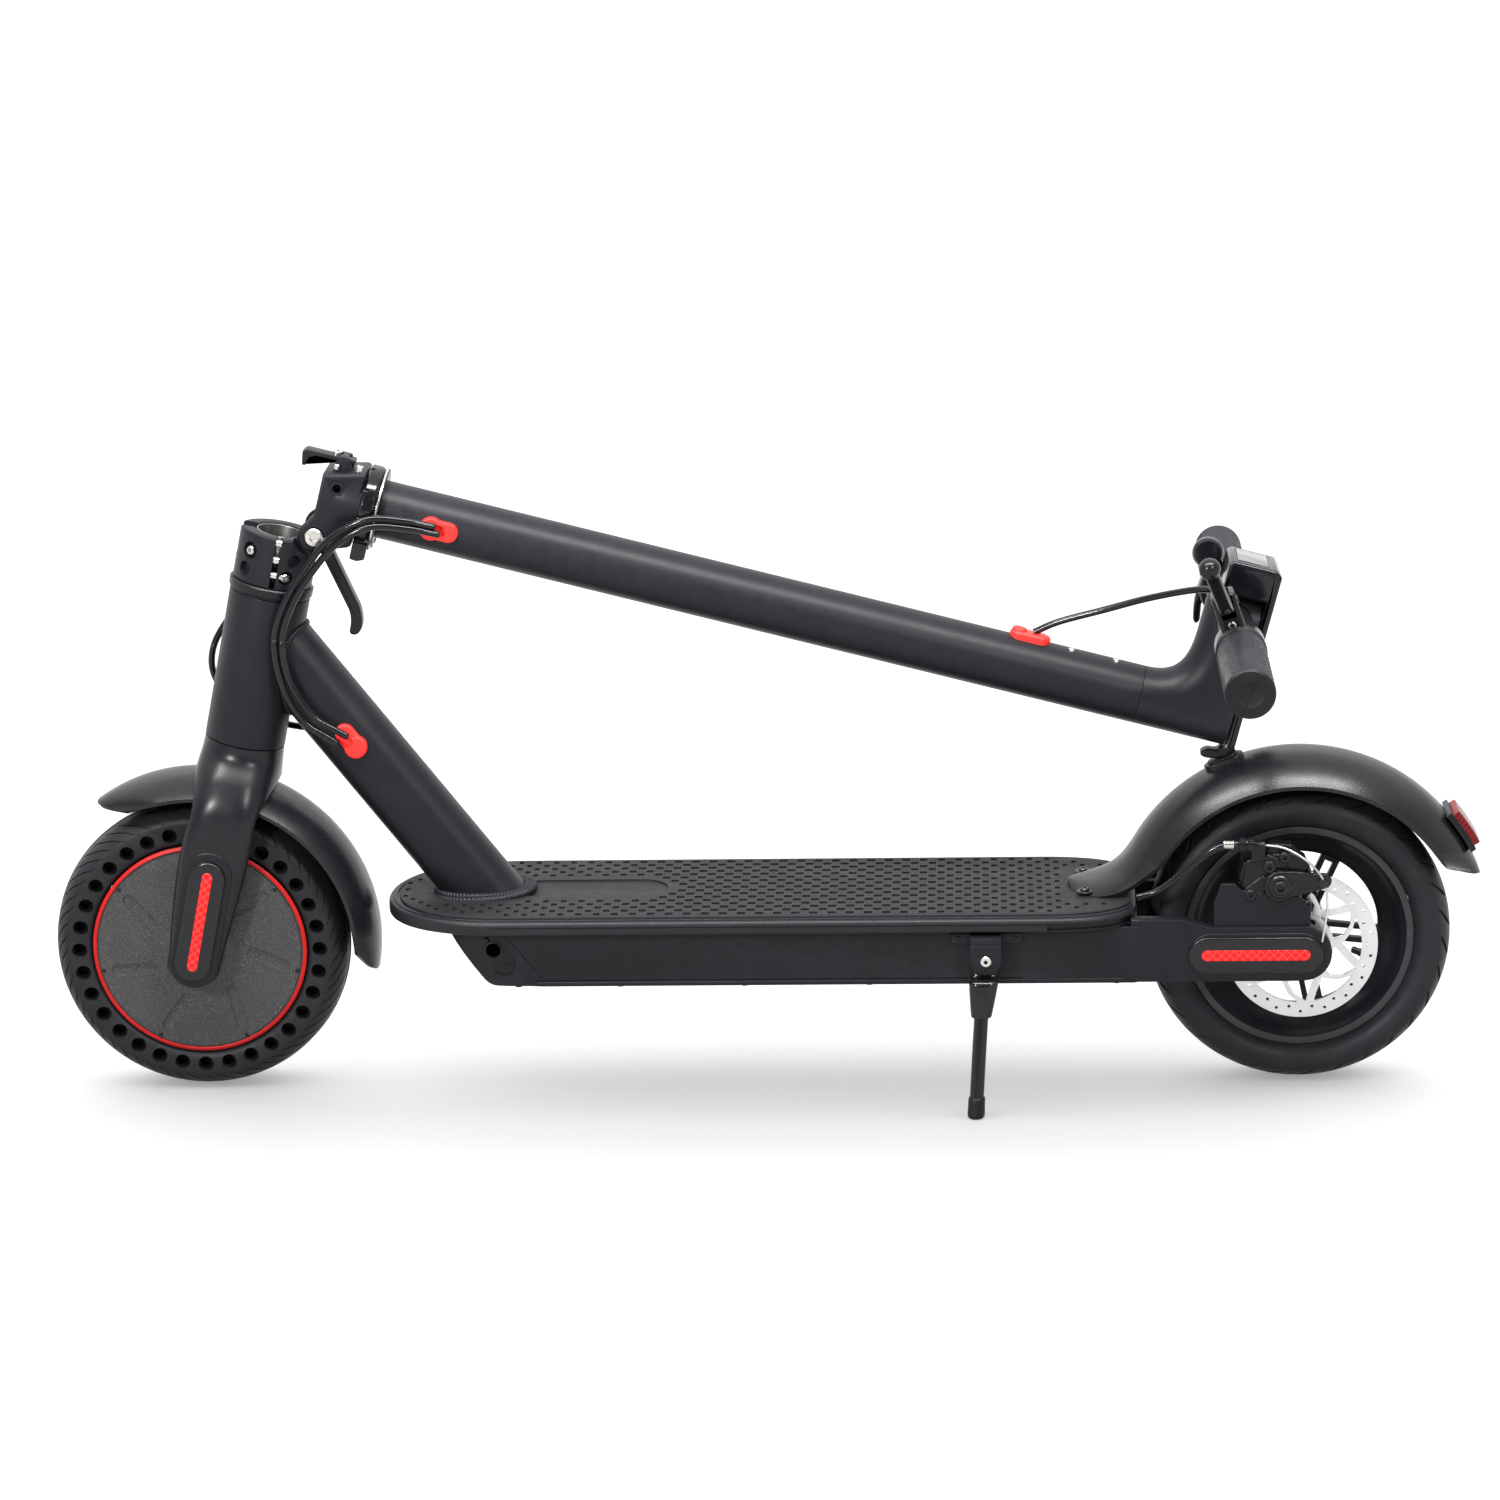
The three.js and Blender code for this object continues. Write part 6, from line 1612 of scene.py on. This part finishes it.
def latch():
    """The hold-down under the folded stem: an oval foot, a post and a winged turning knob."""
    place = ROAD @ Matrix.Translation((747, 0, 237.4)) @ Matrix.Rotation(math.radians(-22), 4, "Y")
    foot = plate("latch_foot", stadium(0, 0, 30, 17, 0, 16), -3.4, 2.6, place, edge=1.0, low_edge=0,
                 plane="XY", steps=4)
    fuse(foot, plate("step", stadium(0, 0, 23, 12.4, 0, 16), 0, 4.6, place, edge=1.0, plane="XY", steps=4))
    piece(foot, "frame", "black_plastic", PLASTIC)
    knob_place = ROAD @ Matrix.Translation((748.5, 0, 0))
    post = [(0, 238.2), (5.6, 238.2), (6, 239), (5.2, 242), (5.6, 245), (6.2, 246), (6.2, 249), (5.2, 250.4),
            (0, 250.4)]
    knob = lathe("latch_knob", post, knob_place, "Z", 48)
    wing = [(-3, 241.8), (-8, 241), (-15, 241.6), (-18.6, 243.6), (-18.2, 246.4), (-14, 248.2), (-8, 247.6),
            (-4, 249.4), (2, 249.6), (2, 243)]
    curve = [tuple(p)[:2] for p in smooth_path([(a, b, 0) for a, b in wing], 4)]
    fuse(knob, plate("wing", curve, -6, 6, knob_place, edge=1.9, steps=4))
    piece(knob, "latch_knob", "black_plastic", PLASTIC, "latch_knob", smooth=50)


# ---------------------------------------------------------------- rear brake
def caliper():
    """The cable disc brake: a two-part casting with a round boss, screws, adjuster and arm."""
    side = rounded((757, 152.6, 1), (806, 152.6, 1), (810, 160, 2.5), (803, 177, 4), (786, 183.5, 4),
                   (770, 184, 3),
                   (758, 177, 3), (755, 165, 2))
    body = plate("caliper_body", side, -53.4, -27, ROAD, edge=1.6, steps=3)
    cut(body, block("disc_slot", 730, 840, -38.3, -33.5, 120, 171, ROAD, edge=0))
    extras = [
        plate("front_lobe", rounded((757, 160, 2), (778, 158, 3), (790, 178, 3), (776, 184.5, 3),
                                    (760, 180, 3)), -57.6,
              -50, ROAD, edge=1.2),
        lathe("boss_base", [(0, -50), (15.2, -50), (15.2, -55), (14.2, -56), (0, -56)], ROAD, segments=72,
              centre=CALIPER_BOSS),
        plate("upper_ear", stadium(794.5, 177.5, 18, 11.5, -35), -57, -48, ROAD, edge=1.2),
        plate("foot_ear", stadium(768, 159.5, 22, 11, 38), -58.2, -48, ROAD, edge=1.2),
        plate("hanger", rounded((763, 178, 1), (773, 180, 1), (774, 192, 1.5), (764, 195, 1.5)), -59, -50,
              ROAD, edge=1),
        plate("fin", rounded((772, 181, 1), (799, 183, 1.5), (792, 190, 2.5), (778, 191, 2.5)), -52, -40,
              ROAD, edge=1),
    ]
    for extra in extras:
        fuse(body, extra)
    cut(body, lathe("boss_step", [(12.2, -58), (13.4, -58), (13.4, -55), (12.2, -55)], ROAD, segments=72,
                    closed=True,
                    centre=CALIPER_BOSS))
    piece(body, "frame", "black_alloy", CASTING, "caliper_body")
    hexes = []
    for x, z, r in ((776.4, 175.6, 4.4), (787.2, 182.6, 3.8), (763.4, 154.8, 4), (804, 147.4, 3)):
        place = ROAD @ Matrix.Translation((x, -56.4, z)) @ FACE_LEFT
        hexes.append(cap_screw(r, 3.4, place))
    piece(join("caliper_screws", hexes), "frame", "black_alloy", ALLOY)
    axis = ROAD @ Matrix.Translation((751, -55.2, 191.5)) @ Matrix.Rotation(math.radians(92), 4, "Y")
    barrel = [(0, 0), (3.2, 0), (3.6, 0.6), (3.6, 4), (5.2, 4.4), (5.2, 8.4), (4.6, 8.8), (4.6, 9.8),
              (5.2, 10.2),
              (5.2, 14), (4, 14.5), (3.2, 15), (3.2, 22), (0, 22)]
    adjuster = lathe("barrel_adjuster", barrel, axis, "Z", 32)
    notches = [round_bar("notch", 0.6, 4, 14.4, axis @ Matrix.Translation((5.3 * math.cos(k * math.pi / 8),
        5.3 * math.sin(k * math.pi / 8), 0)), "Z", 8)
               for k in range(16)]
    cut(adjuster, join("notches", notches))
    piece(adjuster, "frame", "black_alloy", ALLOY)
    ferrule = lathe("ferrule", [(0, -7), (2.9, -7), (3.1, -6), (3.1, 0.5), (0, 0.5)], axis, "Z", 24)
    piece(ferrule, "frame", "steel", ZINC)
    arm_outline = arc(*CALIPER_BOSS, 11.4, 100, 290, 24) + \
        bezier((790, 152.6), (800, 155), (815, 159.4), steps=8) + \
        arc(815, 165.2, 5.6, -80, 90, 12) + \
        bezier((806, 171), (796, 173), (788, 172.6), steps=8)
    arm = plate("caliper_arm", arm_outline, -61, -56.6, ROAD, edge=1.2, steps=3)
    fuse(arm, lathe("hub", [(0, -57), (8.6, -57), (8.6, -62.4), (7.8, -63.2), (0, -63.2)], ROAD, segments=48,
                    centre=CALIPER_BOSS))
    for window in (rounded((795, 158, 1), (806, 160.6, 1), (806, 165.4, 1), (795, 166, 1)),):
        cut(arm, plate("window", window, -62, -59.6, ROAD, edge=0.3))
    piece(arm, "caliper_arm", "black_alloy", ALLOY, "caliper_arm")
    place = ROAD @ Matrix.Translation((784, -63, 161.5)) @ FACE_LEFT
    piece(cap_screw(5.2, 3.2, place), "caliper_arm", "black_alloy", ALLOY)
    place = ROAD @ Matrix.Translation((815.5, -60.6, 165)) @ FACE_LEFT
    clamp_nut = lathe("clamp_nut", [(0, 0), (4.4, 0), (4.4, 3.2), (3, 3.6), (3, 6), (0, 6)], place, "Z", 6)
    piece(clamp_nut, "caliper_arm", "black_alloy", ALLOY)
    wire = [(772.8, -55.4, 191), (786, -58.4, 189.8), (799, -62.6, 184), (809, -63.2, 175), (815, -63.4, 166),
            (817, -63.4, 158),
            (817.4, -63.6, 146), (816, -63.6, 134), (814, -63.4, 121)]
    inner = tube("brake_wire", wire, 0.85, ROAD, sides=10, steps=10)
    piece(inner, "frame", "steel", WIRE)


# ---------------------------------------------------------------- kickstand
def kickstand():
    px, pz = 574, 113.5
    wall = -62.3
    sheet = plate("kickstand_bracket", rounded((549, 122, 1.5), (600, 122, 1.5), (600, 130, 1),
                                               (549, 130, 1)), wall - 3.4,
                  wall, ROAD, edge=0.7)
    lug = [(px - 11, 130), (px - 11, pz)] + arc(px, pz, 11, 180, 360, 24)[1:] + [(px + 11, 130)]
    fuse(sheet, plate("lug", lug, wall - 3.4, wall, ROAD, edge=0.6))
    cheek = [(px - 11, 125), (px - 11, pz)] + arc(px, pz, 11, 180, 360, 24)[1:] + [(px + 11, 125)]
    fuse(sheet, plate("cheek", cheek, -80, -76.2, ROAD, edge=1))
    fuse(sheet, block("bridge", px - 11, px + 11, -80, wall, 124.5, 130, ROAD, edge=1))
    cut(sheet, round_bar("hole", 4.3, -90, -60, ROAD, segments=32, centre=(px, pz)))
    piece(sheet, "frame", "black_paint", PAINT, "kickstand_bracket")
    screws = [screw(x, wall - 3.3, 126, 2.1, 1.2, -1, ROAD) for x in (554, 595)]
    piece(join("kickstand_screws", screws), "frame", "black_alloy", ALLOY)
    tongue = round_bar("kickstand_leg", 8.6, -75.8, -66.1, ROAD, segments=48,
                   centre=(px, pz))
    cup = [(px - 0.2, -71, pz - 1, 7, 4.6, 3, 0), (px - 1, -71, 101, 9.4, 4.7, 3, 0),
           (px - 1.4, -74.6, 98, 10.4, 8.2, 3, 0),
           (px - 2, -76.2, 92, 10.2, 8.4, 2.8, 0), (px - 3.4, -79.3, 74, 7.8, 7.6, 2.3, 0),
           (px - 3.5, -79.5, 72.6, 7, 6.8, 2.2, 0)]
    fuse(tongue, loft("cup", cup, ROAD, sides=48))
    fuse(tongue, round_bar("pin", 4, -80.4, -65.9, ROAD, segments=32, centre=(px, pz)))
    piece(tongue, "kickstand_leg", "black_paint", GLOSS_COVER, "kickstand_leg", smooth=45)
    rod = loft("kickstand_rod", [(px - 3.2, -79, 78, 5.2, 5.2, 2, 0), (px - 5.6, -86, 42, 5.1, 5.1, 2, 0),
                                 (px - 7.6, -92, 9, 5.1, 5.1, 2, 0)], ROAD, sides=36)
    piece(rod, "kickstand_leg", "black_paint", GLOSS_COVER)
    boot = [(px - 7.2, -90.7, 15, 5.3, 5.3, 2, 0), (px - 7.3, -91, 13.6, 6.0, 6.0, 2, 0),
            (px - 7.6, -91.8, 8, 6.1, 6.3, 2, 0),
            (px - 7.9, -92.6, 2, 6.2, 6.8, 2, 0), (px - 8, -92.8, 0.2, 5.2, 5.8, 2, 0)]
    piece(loft("kickstand_foot", boot, ROAD, sides=40, between=4), "kickstand_leg", "grip_rubber", GRIP,
          smooth=50)
    place = ROAD @ Matrix.Translation((px, -80, pz)) @ FACE_LEFT
    piece(cap_screw(3.9, 2.6, place, 0.42), "kickstand_leg", "steel", ZINC)


# ---------------------------------------------------------------- cables
BRAKE_ROUTE = [
    (186, -28.2, 424), (164, -34, 430), (138, -36.5, 431.5), (112, -36, 418), (92, -34.5, 395),
    (76, -34, 369), (68, -33.5, 342), (72, -32.5, 310), (86, -31.5, 283), (110, -29.6, 265),
]
DASH_ROUTE = [
    (189, -28.2, 418.2), (166.6, -33.4, 424.2), (139.4, -36.4, 426), (115.6, -36.5, 413.4),
    (96.2, -34.5, 391.4),
    (80.8, -34, 366.8), (73.4, -33.5, 341.2), (77.6, -32.5, 312.4), (93.4, -31.5, 286.2), (117, -29.6, 270),
]
THROTTLE_ROUTE = [
    (188, 28.2, 421), (163, 34, 430), (134, 36.5, 432), (100, 37, 412), (66, 36, 385),
    (34, 34, 354), (13, 33, 322), (15, 34, 294), (42, 35, 270), (80, 33, 260), (114, 29.6, 265),
]
LEVER_ROUTE = [
    (-123.6, -58.6, 634.3), (-125, -51, 630), (-119.6, -36.6, 616.6), (-102, -20, 588), (-83, -9.6, 559.5),
    (-65, -3, 531), (-52.5, 0, 516),
]
REAR_ROUTE = [
    (683, -47, 150), (694, -48, 153.4), (706, -50, 161), (720, -52, 174), (734, -54, 186), (744, -55, 190.6),
    (750, -55.2, 191.4),
]


def bent_cable(name, route, split, node):
    """A cable from the stem down to the frame, in two lengths that meet beside the head tube.

    Neither length is tied to a body, so neither of them bends.
    """
    upper, lower = route[:split + 1], route[split:]
    path = smooth_path(route, 16)
    cut_at = split * 16
    for part, points, first, second, start, end, nodes in (
            ("upper", path[:cut_at + 2], "steerer", "stem", upper[-2], upper[1], (node,)),
            ("lower", path[cut_at - 1:], "frame", "steerer", lower[-1], lower[0], ())):
        cord = tube(name + "_" + part, points, 2.5, ROAD, sides=20, steps=1)
        for polygon in cord.data.polygons:
            polygon.use_smooth = True
        cord.data.materials.append(CABLE)
        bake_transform(cord)
        if nodes:
            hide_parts(*nodes)


def cables():
    bent_cable("brake_cable", BRAKE_ROUTE, 6, "brake_cable")
    bent_cable("dash_lead", DASH_ROUTE, 6, "dash_lead")
    bent_cable("throttle_lead", THROTTLE_ROUTE, 6, "throttle_lead")
    piece(tube("brake_lever_cable", LEVER_ROUTE, 2.5, STEM, sides=20, steps=12), "stem", "gloss_plastic",
          CABLE,
          "brake_lever_cable")
    piece(tube("rear_brake_cable", REAR_ROUTE, 2.4, ROAD, sides=20, steps=10), "frame", "gloss_plastic",
          CABLE,
          "rear_brake_cable")


# ---------------------------------------------------------------- build
front_wheel()
rear_wheel()
fork()
front_fender()
head_tube()
down_tube()
frame_grommets()
fold_base()
fold_bracket()
fold_lever()
safety_hook()
lock_ring()
stem_tube()
stem_head()
dash()
handlebar()
brake_controls()
throttle()
bell()
deck()
rear_arms()
rear_fender()
caliper()
kickstand()
cables()

KEPT_NODES = {
    "motor_shell": HUB, "controller_box": HUB, "motor_stator": COPPER, "battery_pack": WRAP,
    "bearing_lower": STEEL,
    "bearing_upper": STEEL, "front_axle": STEEL, "rear_axle": STEEL,
}
for node_name, finish in KEPT_NODES.items():
    frame["nodes"][node_name].material_slots[0].material = finish


# ---------------------------------------------------------------- floor, light and camera
def studio_floor():
    g = Graph("studio_floor")
    g.link(g.mix(g.span(g.noise(2), 0, 1), (0.86, 0.86, 0.86), (0.875, 0.875, 0.875)),
           g.shader.inputs["Base Color"])
    g.link(g.span(g.noise(40), 0.75, 0.85), g.shader.inputs["Roughness"])
    g.set(Emission_Color=(1, 1, 1, 1), Emission_Strength=0.3)
    mesh = bpy.data.meshes.new("studio_floor")
    size = 40.0
    mesh.from_pydata([(-size, -size, 0), (size, -size, 0), (size, size, 0), (-size, size, 0)], [],
                     [(0, 1, 2, 3)])
    floor = bpy.data.objects.new("studio_floor", mesh)
    bpy.context.scene.collection.objects.link(floor)
    mesh.materials.append(g.material)


def studio_world():
    """Pale behind and above the scooter, darker on the camera's side."""
    world = bpy.data.worlds.new("studio")
    world.use_nodes = True
    bpy.context.scene.world = world
    tree = world.node_tree
    where = tree.nodes.new("ShaderNodeTexCoord")
    split = tree.nodes.new("ShaderNodeSeparateXYZ")
    tree.links.new(where.outputs["Generated"], split.inputs[0])
    ramp = tree.nodes.new("ShaderNodeMapRange")
    for key, value in (("From Min", -0.75), ("From Max", 0.1), ("To Min", 0.22), ("To Max", 1.1)):
        ramp.inputs[key].default_value = value
    tree.links.new(split.outputs["Y"], ramp.inputs["Value"])
    tree.links.new(ramp.outputs["Result"], tree.nodes["Background"].inputs["Strength"])
    tree.nodes["Background"].inputs["Color"].default_value = (0.98, 0.99, 1.0, 1)


def area_light(name, place, target, size_x, size_y, power, colour=(1, 1, 1)):
    lamp = bpy.data.lights.new(name, "AREA")
    lamp.shape = "RECTANGLE"
    lamp.size, lamp.size_y = size_x, size_y
    lamp.energy = power
    lamp.color = colour
    obj = bpy.data.objects.new(name, lamp)
    bpy.context.scene.collection.objects.link(obj)
    obj.location = place
    obj.rotation_euler = (Vector(target) - Vector(place)).to_track_quat("-Z", "Y").to_euler()
    return obj


CAMERA_TURN = (15.942, 2.886, -1.320)
CAMERA_LENS = 112.02
CAMERA_TARGET = (-7.41, 0, 249.1)
CAMERA_DISTANCE = 3.3781


def camera():
    """A long lens, slightly above the deck and a little left of square on."""
    pitch, yaw, roll = (math.radians(v) for v in CAMERA_TURN)
    ahead = Vector((-math.sin(yaw) * math.cos(pitch), math.cos(yaw) * math.cos(pitch), -math.sin(pitch)))
    right = Vector((math.cos(yaw), math.sin(yaw), 0))
    up = right.cross(ahead)
    right, up = (right * math.cos(roll) + up * math.sin(roll), up * math.cos(roll) - right * math.sin(roll))
    data = bpy.data.cameras.new("camera")
    data.lens = CAMERA_LENS
    data.sensor_width = 36
    data.sensor_fit = "HORIZONTAL"
    data.clip_end = 200
    obj = bpy.data.objects.new("camera", data)
    bpy.context.scene.collection.objects.link(obj)
    eye = Vector(CAMERA_TARGET) * MM - ahead * CAMERA_DISTANCE
    turn = Matrix((right, up, -ahead)).transposed().to_4x4()
    obj.matrix_world = Matrix.Translation(eye) @ turn
    bpy.context.scene.camera = obj


studio_floor()
studio_world()
camera()
FLOOR_APART = bpy.data.collections.new("floor_apart")
FLOOR_APART.objects.link(bpy.data.objects["studio_floor"])
FLOOR_APART.collection_objects[0].light_linking.link_state = "EXCLUDE"
for lamp in (area_light("overhead", (0.0, -0.75, 2.2), (0, 0, 0.25), 2.8, 0.3, 120),
             area_light("front_left", (-1.15, -2.1, 1.25), (-0.35, 0, 0.25), 0.26, 0.34, 46),
             area_light("front_right", (1.3, -1.9, 1.5), (0.4, 0, 0.25), 0.3, 0.4, 22)):
    lamp.light_linking.receiver_collection = FLOOR_APART
sky = bpy.data.objects.new("sky_panel", bpy.data.lights.new("sky_panel", "SUN"))
sky.data.energy = 1.1
sky.data.angle = math.radians(100)
sky.rotation_euler = (math.radians(-18), 0, 0)
bpy.context.scene.collection.objects.link(sky)
bpy.context.scene.view_settings.view_transform = "Standard"
